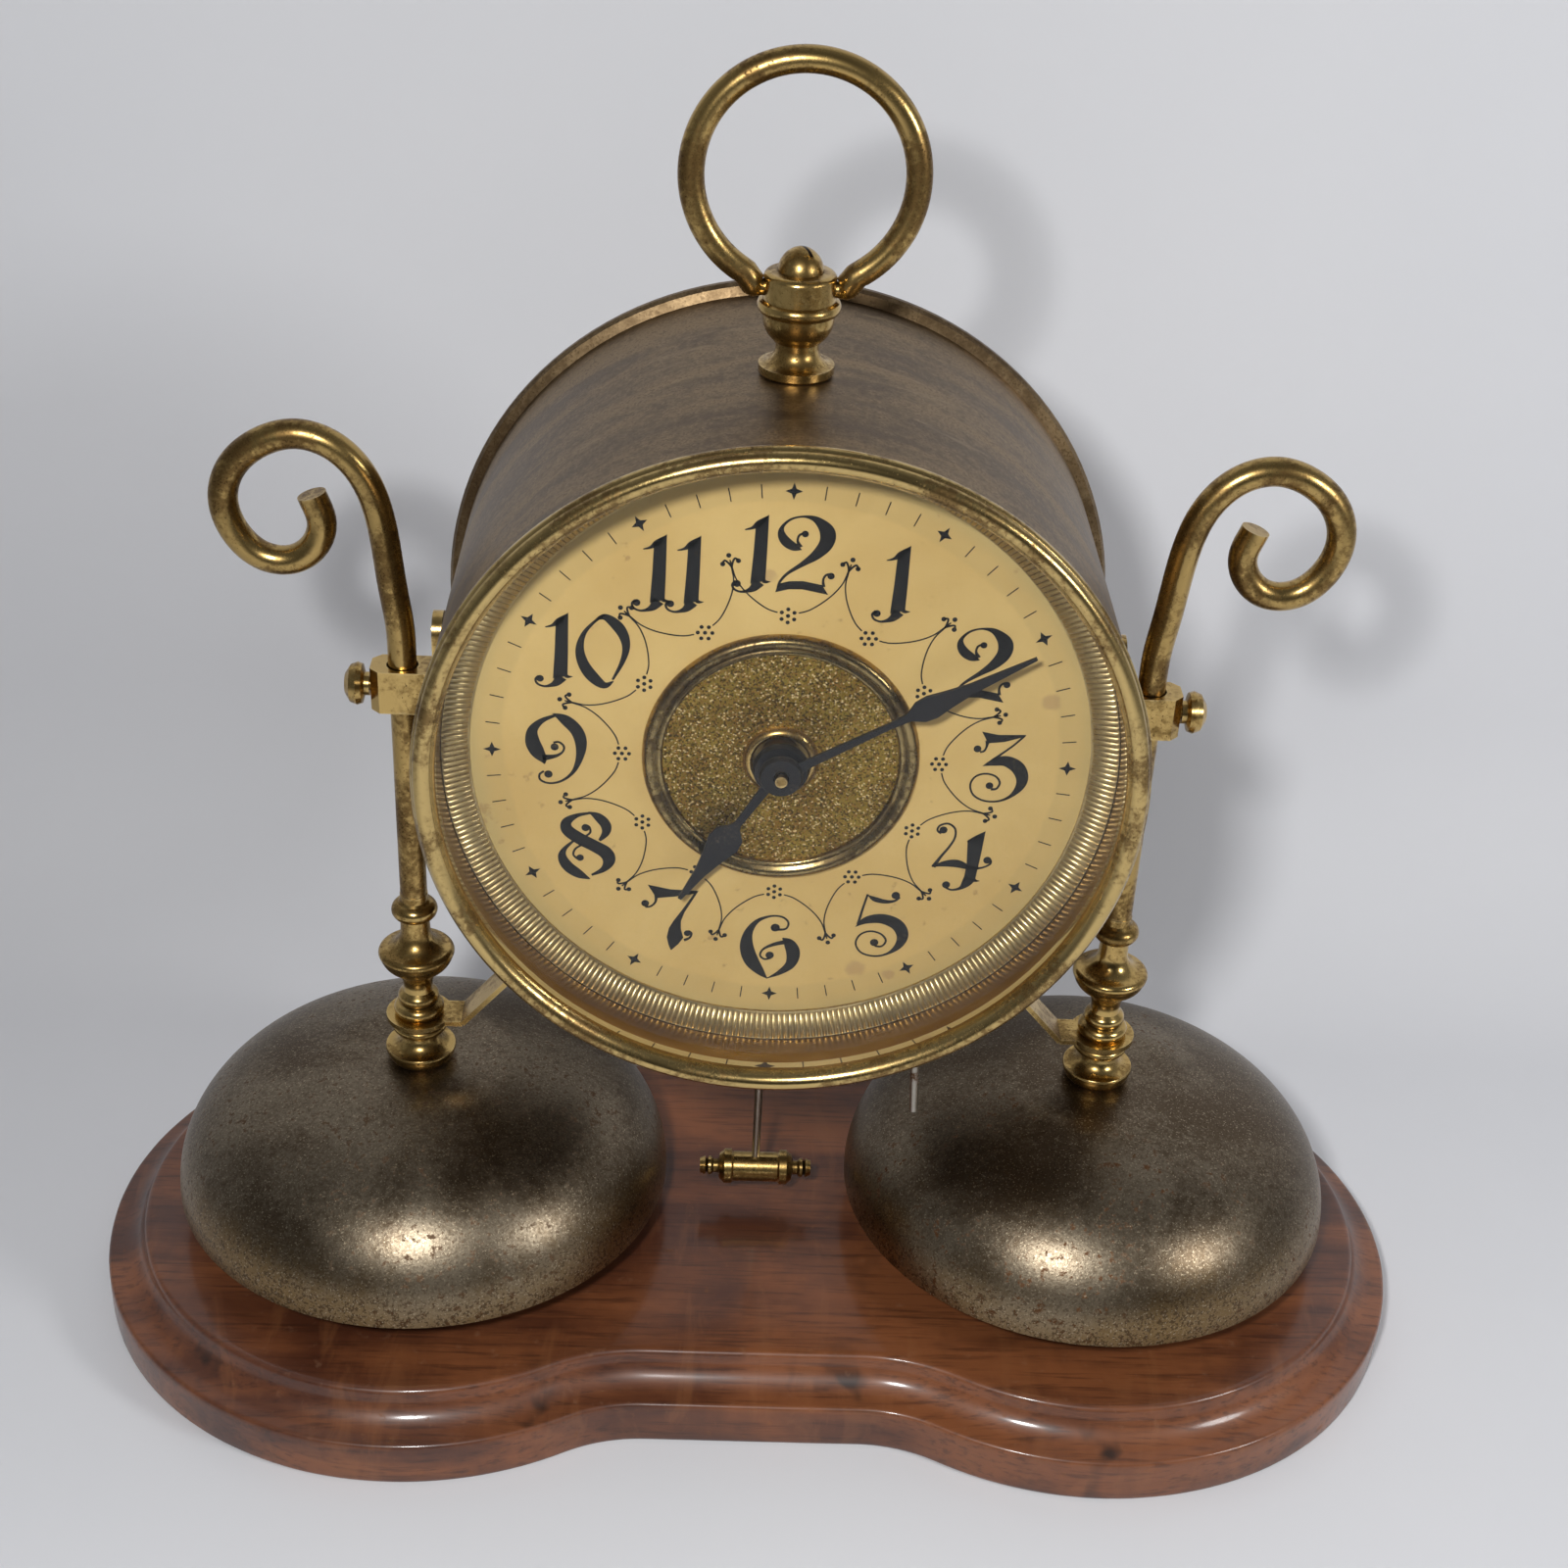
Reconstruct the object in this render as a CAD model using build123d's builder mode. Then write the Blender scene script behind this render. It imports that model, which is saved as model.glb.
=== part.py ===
from build123d import *
import os
from math import asin, atan2, cos, degrees, hypot, pi, radians, sin, sqrt

# Twin bell alarm clock on a waisted wooden base. Millimetres, +Z up, origin at the
# centre of the base's underside. The dial faces -Y. The drum turns about an axis
# along Y, and the two bells stand on posts at x = -post_x and +post_x.

# Wooden base
post_x = 65.8
lobe_radius = 63.4
waist_half_depth = 51.4
waist_blend = 30.0
band_height = 9.4
base_height = 15.8
moulding_inset = 7.7
step_width = 1.2
hollow_steps = 7
spindle_radius = 2.0
spindle_hole_radius = 2.15
nut_recess_radius = 7.0
nut_recess_depth = 6.0
nut_across_flats = 8.0
nut_height = 3.0

# Bells
bell_radius = 47.9
bell_rim_z = 23.8
bell_crown_z = 50.4
bell_wall = 1.6
bell_crown_flat = 7.0
bell_fullness = 0.94
pillar_radius = 4.5
pillar_foot_radius = 7.0

# Turned profiles are stations of (radius, height), and a third value bows the stretch that
# ends there: outwards when positive, hollow when negative
bell_nut_profile = [
    (5.4, 50.4), (6.6, 52.6, 0.3), (6.6, 53.4, 0.15), (3.4, 56.0, -0.9), (3.4, 56.5),
    (4.8, 57.2, 0.1), (4.8, 58.7, 0.4), (4.3, 59.2), (4.3, 59.9),
]
strap_thickness = 1.0
strap_z = 59.9
baluster_profile = [
    (4.2, 60.9), (4.2, 63.2, 0.55), (3.4, 63.6), (3.4, 65.8, 0.5), (2.9, 66.3), (5.0, 71.4, -0.9),
    (6.9, 74.2, 0.3), (6.3, 75.9, 0.5), (2.8, 79.8, -1.0), (2.7, 82.4), (3.0, 82.7), (3.0, 86.1, 1.3),
    (2.6, 86.5), (2.6, 88.0),
]
rod_radius = 2.5
baluster_top_z = 88.0

# Straps that tie the posts to the drum
strap_width = 7.0
strap_eye_radius = 6.25
strap_bend_x = 57.3
strap_foot_length = 9.0
strap_screw_radius = 1.2

# Drum
drum_z = 137.9
shell_radius = 58.2
shell_wall = 0.8
shell_front_y = -43.0
shell_back_y = 26.0
rear_rim_radius = 60.3
rear_rim_y = 27.0
bezel_radius = 58.85
bezel_front_y = -46.4
reflector_radius = 55.0
dial_y = -32.8
dial_radius = 51.4
paper_thickness = 0.3
milled_inner_radius = 50.6
milled_outer_radius = 54.9
milled_height = 2.6
dial_plate_thickness = 0.8
glass_y = -43.6
glass_thickness = 1.4
rear_cover_y = 24.0
rear_cover_thickness = 1.0

# Ornament in the middle of the dial
disc_radius = 19.3
disc_ring_radius = 22.75
disc_boss_radius = 6.3
disc_hole_radius = 4.6

# Clamp blocks, their lugs and thumb screws
block_z = 131.5
block_height = 8.1
block_half_width = 5.5
block_depth = 7.0
lug_thickness = 1.8
lug_height = 15.0
rod_hole_radius = 2.8
screw_stem_radius = 1.2
screw_knob_radius = 3.8
screw_knob_length = 4.2

# Scrolls, outward from the rod's axis and up
scroll_path = [
    (0.0, 88.0), (0.0, 140.0), (1.0, 150.0), (2.5, 162.7), (4.9, 170.3), (9.5, 175.6),
    (15.5, 177.6), (22.4, 175.5), (26.6, 171.6), (28.6, 166.0), (27.0, 159.6), (22.5, 155.3),
    (17.5, 155.0), (13.6, 158.0), (12.4, 162.4), (13.8, 167.0),
]

# Handle
finial_y = -11.9
finial_profile = [
    (5.7, 196.12), (6.0, 196.5, 0.1), (6.0, 197.6), (3.4, 200.2, -0.7), (3.4, 201.2), (4.0, 201.6, 0.1),
    (5.6, 205.2, 0.45), (5.6, 205.8), (6.3, 206.2, 0.1), (6.3, 207.7, 0.25), (5.7, 208.0),
    (5.7, 211.5), (4.6, 212.3, 0.25), (3.6, 212.4), (0.4, 216.1, 0.85),
]
ring_wire_radius = 2.05
ring_mean_radius = 17.2
ring_centre_z = 226.8
ring_pivot_z = 209.6
ring_pin_radius = 1.3
ring_pin_reach = 3.0
ring_end_x = 6.9

# Hands, as lengths from the centre and half widths
minute_stations = [
    (2.0, 0.8), (20.0, 0.5), (23.0, 0.7), (25.0, 1.9), (27.0, 2.1), (30.0, 1.5), (34.0, 0.9), (45.3, 0.25),
]
hour_stations = [
    (2.0, 0.9), (12.5, 0.6), (13.5, 1.0), (15.0, 2.5), (17.0, 2.8), (20.0, 1.9), (24.0, 1.0), (30.2, 0.3),
]
minute_angle = 59.8
hour_angle = 211.8
cannon_pipe = 1.9
minute_hand_y = -38.6
hour_hand_y = -36.4
hand_thickness = 0.5

# Movement: two plates, and every wheel's place on them as (x, z)
front_plate_y = -27.6
back_plate_y = 4.0
plate_thickness = 1.2
plate_radius = 56.0
plate_pillar_radius = 1.6
plate_pillar_ring = 53.4
dial_foot_ring = 47.0
pivot_clearance = 0.05
running_fit = 0.08
centre_arbor_radius = 1.0
arbor_radius = 0.8
time_key_place = (20.0, 119.0)
alarm_key_place = (-20.0, 119.0)
alarm_set_place = (-20.0, 157.0)
barrel_radius = 12.0
barrel_wall = 0.8
key_arbor_radius = 1.8
great_teeth = 60
centre_pinion_teeth = 12
great_module = 2 * hypot(time_key_place[0], drum_z - time_key_place[1]) / (great_teeth + centre_pinion_teeth)
cannon_teeth = 12
minute_wheel_teeth = 36
minute_pinion_teeth = 10
hour_wheel_teeth = 40
motion_distance = 13.2
cannon_module = 2 * motion_distance / (cannon_teeth + minute_wheel_teeth)
hour_module = 2 * motion_distance / (minute_pinion_teeth + hour_wheel_teeth)
centre_wheel_teeth = 60
third_pinion_teeth = 10
third_wheel_teeth = 50
escape_pinion_teeth = 10
train_module = 0.45
third_direction = 110.0
escape_direction = 20.0
third_distance = train_module * (centre_wheel_teeth + third_pinion_teeth) / 2
escape_distance = train_module * (third_wheel_teeth + escape_pinion_teeth) / 2
escape_teeth = 15
escape_radius = 5.4
pallet_distance = 8.0
balance_distance = 10.0
balance_radius = 8.0
hairspring_outer = 5.4
hairspring_turns = 4
hairspring_strip = 0.12
alarm_wheel_teeth = 48
alarm_pinion_teeth = 10
alarm_escape_place = (-4.0, 105.5)
alarm_module = 2 * hypot(alarm_escape_place[0] - alarm_key_place[0],
                         alarm_escape_place[1] - alarm_key_place[1]) / (alarm_wheel_teeth + alarm_pinion_teeth)
verge_y = -8.0

# Hammer and silencing lever
hammer_pivot_z = 95.0
hammer_head_z = 24.6
hammer_rod_radius = 0.8
hammer_half_length = 11.1
lever_x = 26.5
lever_y = -20.0
lever_pivot_z = 93.6
lever_end_z = 56.0
lever_lean = 4.0


def facing(y):
    # plane across the drum at depth y: local x is X, local y is Z, extrudes to the front
    return Plane(origin=(0, y, 0), x_dir=(1, 0, 0), z_dir=(0, -1, 0))


def upright(x, y=0.0):
    # plane through a vertical axis: local x is the radius and local y is the height
    return Plane(origin=(x, y, 0), x_dir=(1, 0, 0), z_dir=(0, -1, 0))


def drum_section(x=0.0, z=drum_z):
    # plane through a fore-and-aft axis: local x is the radius and local y is the depth
    return Plane(origin=(x, 0, z), x_dir=(1, 0, 0), z_dir=(0, 0, 1))


def upright_axis(x, y=0.0):
    return Axis((x, y, 0), (0, 0, 1))


def drum_axis(x=0.0, z=drum_z):
    return Axis((x, 0, z), (0, 1, 0))


def save(builder, name):
    builder.part.label = name
    export_step(builder.part, f"parts/{name}.step")


def profile_outline(profile, bore):
    # the closed half section of a turned piece, from its stations down to its bore or axis
    start = profile[0][:2]
    Line((bore, start[1]), start)
    here = start
    for station in profile[1:]:
        there = station[:2]
        bow = station[2] if len(station) > 2 else 0.0
        if bow == 0.0:
            Line(here, there)
        else:
            run, rise = there[0] - here[0], there[1] - here[1]
            length = hypot(run, rise)
            middle = ((here[0] + there[0]) / 2 + bow * rise / length,
                      (here[1] + there[1]) / 2 - bow * run / length)
            ThreePointArc(here, middle, there)
        here = there
    if here[0] > bore:
        Line(here, (bore, here[1]))
    Line((bore, here[1]), (bore, start[1]))


def turned(profile, plane, axis, bore=0.0):
    # one turned piece from its profile
    with BuildPart() as piece:
        with BuildSketch(plane):
            with BuildLine():
                profile_outline(profile, bore)
            make_face()
        revolve(axis=axis)
    return piece


def disc(radius, bore, y_front, thickness, x=0.0, z=drum_z):
    # a flat round piece across the drum, from y_front backwards
    with BuildPart() as piece:
        with BuildSketch(facing(y_front + thickness)):
            with Locations((x, z)):
                Circle(radius)
                if bore > 0:
                    Circle(bore, mode=Mode.SUBTRACT)
        extrude(amount=thickness)
    return piece


def tooth_points(teeth, module, turn, place):
    # straight-flanked teeth, thinner than half the pitch so that they run free
    pitch_radius = module * teeth / 2
    root = pitch_radius - 1.3 * module
    tip = pitch_radius + 0.85 * module
    points = []
    for index in range(teeth):
        middle = turn + 360.0 * index / teeth
        for radius, share in ((root, -0.30), (tip, -0.10), (tip, 0.10), (root, 0.30)):
            angle = radians(middle + 360.0 * share / teeth)
            points.append((place[0] + radius * cos(angle), place[1] + radius * sin(angle)))
    return points


def gear(teeth, module, y_front, thickness, bore, place=(0.0, drum_z), turn=0.0, windows=0):
    # a toothed wheel; turn is the angle of the first tooth, windows the openings between arms
    with BuildPart() as piece:
        with BuildSketch(facing(y_front + thickness)):
            with BuildLine():
                Polyline(*tooth_points(teeth, module, turn, place), close=True)
            make_face()
            if bore > 0:
                with Locations(place):
                    Circle(bore, mode=Mode.SUBTRACT)
            if windows > 0:
                ring = module * teeth / 2 * 0.56
                with Locations(place):
                    with PolarLocations(ring, windows):
                        Circle(ring * 0.42, mode=Mode.SUBTRACT)
        extrude(amount=thickness)
    return piece


def base_outline(inset=0.0):
    # two round lobes joined by a straight-sided waist with hollow blends
    with BuildSketch(mode=Mode.PRIVATE) as outline:
        Rectangle(2 * post_x, 2 * (waist_half_depth - inset))
        with Locations((-post_x, 0), (post_x, 0)):
            Circle(lobe_radius - inset)
        corners = outline.vertices().filter_by(lambda v: abs(v.X) < post_x - 20)
        fillet(corners, radius=waist_blend + inset)
    return outline.sketch


def hollow_inset(share):
    return step_width + (moulding_inset - step_width) * sin(share * pi / 2)


def hollow_height(share):
    # starts level at the step and ends steep under the edge of the top
    return band_height + (base_height - band_height) * (1 - cos(share * pi / 2))


def make_base():
    # moulded edge: a square band, a small step, then a hollow that rises to the flat top
    with BuildPart() as wood_base:
        with BuildSketch():
            add(base_outline())
        extrude(amount=band_height)
        fillet(wood_base.faces().sort_by(Axis.Z)[-1].edges(), radius=0.5)
        for index in range(hollow_steps):
            with BuildSketch(Plane.XY.offset(hollow_height(index / hollow_steps))):
                add(base_outline(hollow_inset(index / hollow_steps)))
            with BuildSketch(Plane.XY.offset(hollow_height((index + 1) / hollow_steps))):
                add(base_outline(hollow_inset((index + 1) / hollow_steps)))
            loft()
        with BuildSketch():
            with Locations((-post_x, 0), (post_x, 0)):
                Circle(spindle_hole_radius)
        extrude(amount=base_height, mode=Mode.SUBTRACT)
        with BuildSketch():
            with Locations((-post_x, 0), (post_x, 0)):
                Circle(nut_recess_radius)
        extrude(amount=nut_recess_depth, mode=Mode.SUBTRACT)
    save(wood_base, "wood_base")
    with BuildPart() as base_nuts:
        for x in (-post_x, post_x):
            with BuildSketch(Plane.XY.offset(nut_recess_depth - nut_height)):
                with Locations((x, 0)):
                    RegularPolygon(nut_across_flats / 2, 6, major_radius=False)
                    Circle(spindle_hole_radius, mode=Mode.SUBTRACT)
            extrude(amount=nut_height)
    save(base_nuts, "base_nuts")


def bell_curve(wall):
    # the dome's meridian from the rim to the crown, nearly an ellipse with fuller shoulders
    points = []
    for degree in (0, 25, 50, 72, 90):
        angle = radians(degree)
        radius = bell_crown_flat + (bell_radius - wall - bell_crown_flat) * cos(angle) ** bell_fullness
        height = bell_rim_z + (bell_crown_z - wall - bell_rim_z) * sin(angle) ** bell_fullness
        points.append((radius, height))
    return points


def make_bell(side, name):
    # a struck dome of even wall with a flat crown that the nut sits on
    x = side * post_x
    with BuildPart() as bell:
        with BuildSketch(upright(x)):
            with BuildLine():
                outer = Spline(*bell_curve(0.0), tangents=[(0, 1), (-1, 0)])
                top = Line(outer @ 1, (spindle_hole_radius, bell_crown_z))
                down = Line(top @ 1, (spindle_hole_radius, bell_crown_z - bell_wall))
                under = Line(down @ 1, (bell_crown_flat, bell_crown_z - bell_wall))
                inner = Spline(*reversed(bell_curve(bell_wall)), tangents=[(1, 0), (0, -1)])
                Line(inner @ 1, outer @ 0)
            make_face()
        revolve(axis=upright_axis(x))
    save(bell, f"{name}_bell")


def make_bell_fixings():
    # under each bell a turned pillar, over it a turned nut
    pillar_profile = [
        (pillar_foot_radius, base_height), (pillar_foot_radius, base_height + 2.0),
        (pillar_radius, base_height + 4.0), (pillar_radius, bell_crown_z - bell_wall - 3.0),
        (pillar_foot_radius - 1, bell_crown_z - bell_wall - 1.0),
        (pillar_foot_radius - 1, bell_crown_z - bell_wall),
    ]
    for name, profile in (("bell_pillars", pillar_profile), ("bell_nuts", bell_nut_profile)):
        with BuildPart() as pair:
            for x in (-post_x, post_x):
                add(turned(profile, upright(x), upright_axis(x), spindle_hole_radius).part)
        save(pair, name)


def make_post(side, name):
    x = side * post_x
    with BuildPart() as post:
        add(turned(baluster_profile, upright(x), upright_axis(x)).part)
        with BuildSketch(Plane.XY.offset(nut_recess_depth - nut_height - 0.6)):
            with Locations((x, 0)):
                Circle(spindle_radius)
        extrude(amount=strap_z + strap_thickness + 1 - nut_recess_depth + nut_height + 0.6)
    save(post, f"{name}_post")
    with BuildPart() as scroll:
        with BuildLine() as path:
            points = [(x + side * dx, 0, z) for dx, z in scroll_path]
            straight = Line(points[0], points[1])
            Spline(*points[1:], tangents=[(0, 0, 1), (side * 0.3, 0, 1)])
        with BuildSketch(Plane.XY.offset(baluster_top_z)):
            with Locations((x, 0)):
                Circle(rod_radius)
        sweep(path=path.wires()[0])
    save(scroll, f"{name}_scroll")


def make_strap(side, name):
    # flat strip: an eye round the spindle, a level run, a slope up to the drum, a screwed foot
    with BuildPart() as strap:
        x = side * post_x
        with BuildSketch(Plane.XY.offset(strap_z)):
            with Locations((x, 0)):
                Circle(strap_eye_radius)
            with Locations(((x + side * strap_bend_x) / 2, 0)):
                Rectangle(post_x - strap_bend_x, strap_width)
            with Locations((x, 0)):
                Circle(spindle_hole_radius, mode=Mode.SUBTRACT)
        extrude(amount=strap_thickness)
        with BuildSketch(facing(strap_width / 2)):
            with BuildLine():
                Polyline(*[(side * px, pz) for px, pz in strap_slope()], close=True)
            make_face()
        extrude(amount=strap_width)
        hole_x, hole_z, slope = strap_screw_place()
        with BuildSketch(Plane(origin=(side * (hole_x + 4 * sin(slope)), 0, hole_z - 4 * cos(slope)),
                               x_dir=(0, 1, 0), z_dir=(-side * sin(slope), 0, cos(slope)))):
            Circle(strap_screw_radius + 0.1)
        extrude(amount=8, mode=Mode.SUBTRACT)
    save(strap, f"{name}_strap")


def strap_direction():
    # unit direction of the slope, from the bend towards the drum's underside
    length = sqrt(6.0 ** 2 + 6.9 ** 2)
    return (-6.0 / length, 6.9 / length)


def strap_contact():
    # where the slope's middle line meets the outside of the drum
    dx, dz = strap_direction()
    px, pz = strap_bend_x, strap_z + strap_thickness / 2 - drum_z
    half = px * dx + pz * dz
    root = sqrt(half ** 2 - (px ** 2 + pz ** 2 - (shell_radius + strap_thickness) ** 2))
    reach = -half - root
    return px + reach * dx, strap_z + strap_thickness / 2 + reach * dz


def strap_slope():
    # outline of the sloping run and its foot, on the right-hand side
    dx, dz = strap_direction()
    nx, nz = dz * strap_thickness / 2, -dx * strap_thickness / 2
    cx, cz = strap_contact()
    radius = sqrt(cx ** 2 + (cz - drum_z) ** 2)
    ux, uz = cx / radius, (cz - drum_z) / radius
    tx, tz = uz, -ux
    out_gap = strap_thickness + 0.12
    foot_in = (ux * (shell_radius + 0.12), drum_z + uz * (shell_radius + 0.12))
    foot_out = (foot_in[0] + ux * out_gap, foot_in[1] + uz * out_gap)
    start_x, start_z = strap_bend_x, strap_z + strap_thickness / 2
    back = 0.8
    return [
        (start_x - nx, start_z - nz), (start_x + nx, start_z + nz),
        (foot_out[0] + nx, foot_out[1] + nz), (foot_out[0] - tx * back, foot_out[1] - tz * back),
        (foot_in[0] - tx * back, foot_in[1] - tz * back),
        (foot_in[0] + tx * strap_foot_length, foot_in[1] + tz * strap_foot_length),
        (foot_out[0] + tx * strap_foot_length, foot_out[1] + tz * strap_foot_length),
        (foot_out[0] - nx, foot_out[1] - nz),
    ]


def strap_screw_place():
    # middle of the foot, and the foot's slope from the level
    cx, cz = strap_contact()
    radius = sqrt(cx ** 2 + (cz - drum_z) ** 2)
    ux, uz = cx / radius, (cz - drum_z) / radius
    tx, tz = uz, -ux
    along = strap_foot_length * 0.6
    return ux * shell_radius + tx * along, drum_z + uz * shell_radius + tz * along, asin(ux)


def place_from(start, distance, direction):
    # a point at a distance and direction (degrees above +X) from another wheel's place
    angle = radians(direction)
    return start[0] + distance * cos(angle), start[1] + distance * sin(angle)


centre_place = (0.0, drum_z)
third_place = place_from(centre_place, third_distance, third_direction)
escape_place = place_from(third_place, escape_distance, escape_direction)
pallet_place = place_from(escape_place, pallet_distance, 0.0)
balance_place = place_from(pallet_place, balance_distance, 0.0)
minute_place = place_from(centre_place, motion_distance, -90.0)


def rod_along(place, radius, y_front, y_back):
    # a plain arbor or pin along Y between two depths
    with BuildPart() as piece:
        with BuildSketch(facing(y_back)):
            with Locations(place):
                Circle(radius)
        extrude(amount=y_back - y_front)
    return piece


def mesh_turn(place, other, other_teeth, other_turn, teeth):
    # turn of a wheel's first tooth so that a gap of it meets the other wheel's tooth
    dx, dz = place[0] - other[0], place[1] - other[1]
    towards = degrees(atan2(dz, dx))
    pitch_share = ((towards - other_turn) * other_teeth / 360.0) % 1.0
    return towards + 180.0 + 360.0 * (0.5 + pitch_share) / teeth


def make_drum():
    shell_profile = [
        (shell_radius - shell_wall, shell_front_y), (shell_radius, shell_front_y),
        (shell_radius, rear_rim_y - 1.9), (rear_rim_radius - 0.5, rear_rim_y - 1.4),
        (rear_rim_radius, rear_rim_y - 0.5), (rear_rim_radius, rear_rim_y + 0.5),
        (rear_rim_radius - 0.5, rear_rim_y + 1.4), (shell_radius, rear_rim_y + 1.9),
        (shell_radius - shell_wall, rear_rim_y + 1.0),
    ]
    with BuildPart() as drum_shell:
        with BuildSketch(drum_section()):
            with BuildLine():
                Polyline(*shell_profile, close=True)
            make_face()
        revolve(axis=drum_axis())
        with BuildSketch(Plane.XY):
            with Locations((0, 0)):
                SlotOverall(9.0, 4.0)
            with Locations((lever_x, lever_y)):
                SlotOverall(10.0, 4.0)
        extrude(amount=drum_z, mode=Mode.SUBTRACT)
        with BuildSketch(Plane.XY.offset(drum_z)):
            with Locations((0, finial_y)):
                Circle(2.1)
        extrude(amount=shell_radius + 5, mode=Mode.SUBTRACT)
        for side in (-1, 1):
            hole_x, hole_z, slope = strap_screw_place()
            with BuildSketch(Plane(origin=(side * (hole_x - 4 * sin(slope)), 0, hole_z + 4 * cos(slope)),
                                   x_dir=(0, 1, 0), z_dir=(side * sin(slope), 0, -cos(slope)))):
                Circle(strap_screw_radius + 0.1)
            extrude(amount=8, mode=Mode.SUBTRACT)
    save(drum_shell, "drum_shell")
    bezel_profile = [
        (reflector_radius, -44.6), (55.5, -45.8), (56.5, bezel_front_y), (57.6, -46.3), (58.5, -45.7),
        (bezel_radius, -44.9), (bezel_radius, -43.6), (58.5, shell_front_y), (55.6, shell_front_y),
        (55.6, -33.6), (reflector_radius, -33.6),
    ]
    with BuildPart() as front_bezel:
        with BuildSketch(drum_section()):
            with BuildLine():
                Polyline(*bezel_profile, close=True)
            make_face()
        revolve(axis=drum_axis())
    save(front_bezel, "front_bezel")
    save(disc(reflector_radius - 0.05, 0, glass_y, glass_thickness), "dial_glass")
    ring_profile = [
        (milled_inner_radius, dial_y), (milled_inner_radius, dial_y - 0.5),
        (milled_outer_radius, dial_y - milled_height), (milled_outer_radius, dial_y),
    ]
    with BuildPart() as milled_ring:
        with BuildSketch(drum_section()):
            with BuildLine():
                Polyline(*ring_profile, close=True)
            make_face()
        revolve(axis=drum_axis())
    save(milled_ring, "milled_ring")
    save(disc(milled_outer_radius, disc_hole_radius, dial_y, paper_thickness), "dial")
    plate_front = dial_y + paper_thickness
    save(disc(shell_radius - shell_wall - 0.05, disc_hole_radius, plate_front, dial_plate_thickness),
         "dial_plate")
    save(disc(disc_radius, disc_hole_radius, dial_y - 0.4, 0.4), "centre_disc")
    for name, low, high, rise in (("centre_disc_ring", disc_radius + 0.02, disc_ring_radius, 1.5),
                                  ("centre_boss", disc_hole_radius, disc_boss_radius, 1.2)):
        seat = dial_y if name == "centre_disc_ring" else dial_y - 0.4
        step = (high - low) / 4
        with BuildPart() as ring:
            with BuildSketch(drum_section()):
                with BuildLine():
                    Polyline((low, seat), (low, seat - rise * 0.5), (low + step, seat - rise * 0.9),
                             (low + 2 * step, seat - rise), (high - step, seat - rise * 0.9),
                             (high, seat - rise * 0.4), (high, seat), close=True)
                make_face()
            revolve(axis=drum_axis())
        save(ring, name)
    with BuildPart() as rear_cover:
        with BuildSketch(facing(rear_cover_y + rear_cover_thickness)):
            with Locations((0, drum_z)):
                Circle(shell_radius - shell_wall - 0.05)
            with Locations(time_key_place, alarm_key_place):
                Circle(key_arbor_radius + 1.2, mode=Mode.SUBTRACT)
            with Locations(centre_place, alarm_set_place):
                Circle(key_arbor_radius + 1.0, mode=Mode.SUBTRACT)
        extrude(amount=rear_cover_thickness)
    save(rear_cover, "rear_cover")


def make_handle():
    with BuildPart() as handle_finial:
        add(turned(finial_profile, upright(0, finial_y), upright_axis(0, finial_y)).part)
        with BuildSketch(Plane.XY.offset(drum_z + shell_radius - 6)):
            with Locations((0, finial_y)):
                Circle(2.0)
        extrude(amount=8)
        with BuildSketch(Plane.YZ.offset(-8)):
            with Locations((finial_y, ring_pivot_z)):
                Circle(ring_pin_radius + running_fit)
        extrude(amount=16, mode=Mode.SUBTRACT)
    save(handle_finial, "handle_finial")
    with BuildPart() as finial_nut:
        with BuildSketch(Plane.XY.offset(drum_z + shell_radius - shell_wall - 3.4)):
            with Locations((0, finial_y)):
                RegularPolygon(3.5, 6, major_radius=False)
                Circle(2.1, mode=Mode.SUBTRACT)
        extrude(amount=2.4)
    save(finial_nut, "finial_nut")
    # round wire bent to a nearly closed ring; its thin ends turn in the finial's cross hole
    drop = sqrt(ring_mean_radius ** 2 - ring_end_x ** 2)
    end_angle = degrees(atan2(-drop, ring_end_x))
    start = Vector(ring_end_x, finial_y, ring_centre_z - drop)
    ring_plane = Plane(origin=(0, finial_y, ring_centre_z), x_dir=(1, 0, 0), z_dir=(0, -1, 0))
    with BuildPart() as handle_ring:
        with BuildLine(ring_plane) as path:
            CenterArc((0, 0), ring_mean_radius, end_angle, 180 - 2 * end_angle)
        section = Plane(origin=start, x_dir=(0, 1, 0), z_dir=(drop, 0, ring_end_x))
        with BuildSketch(section):
            Circle(ring_wire_radius)
        sweep(path=path.wires()[0])
        for side in (-1, 1):
            with BuildSketch(Plane(origin=(side * ring_pin_reach, finial_y, ring_pivot_z),
                                   x_dir=(0, 1, 0), z_dir=(side, 0, 0))):
                Circle(ring_pin_radius)
            extrude(amount=ring_end_x + 1.2 - ring_pin_reach)
    save(handle_ring, "handle_ring")


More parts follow.
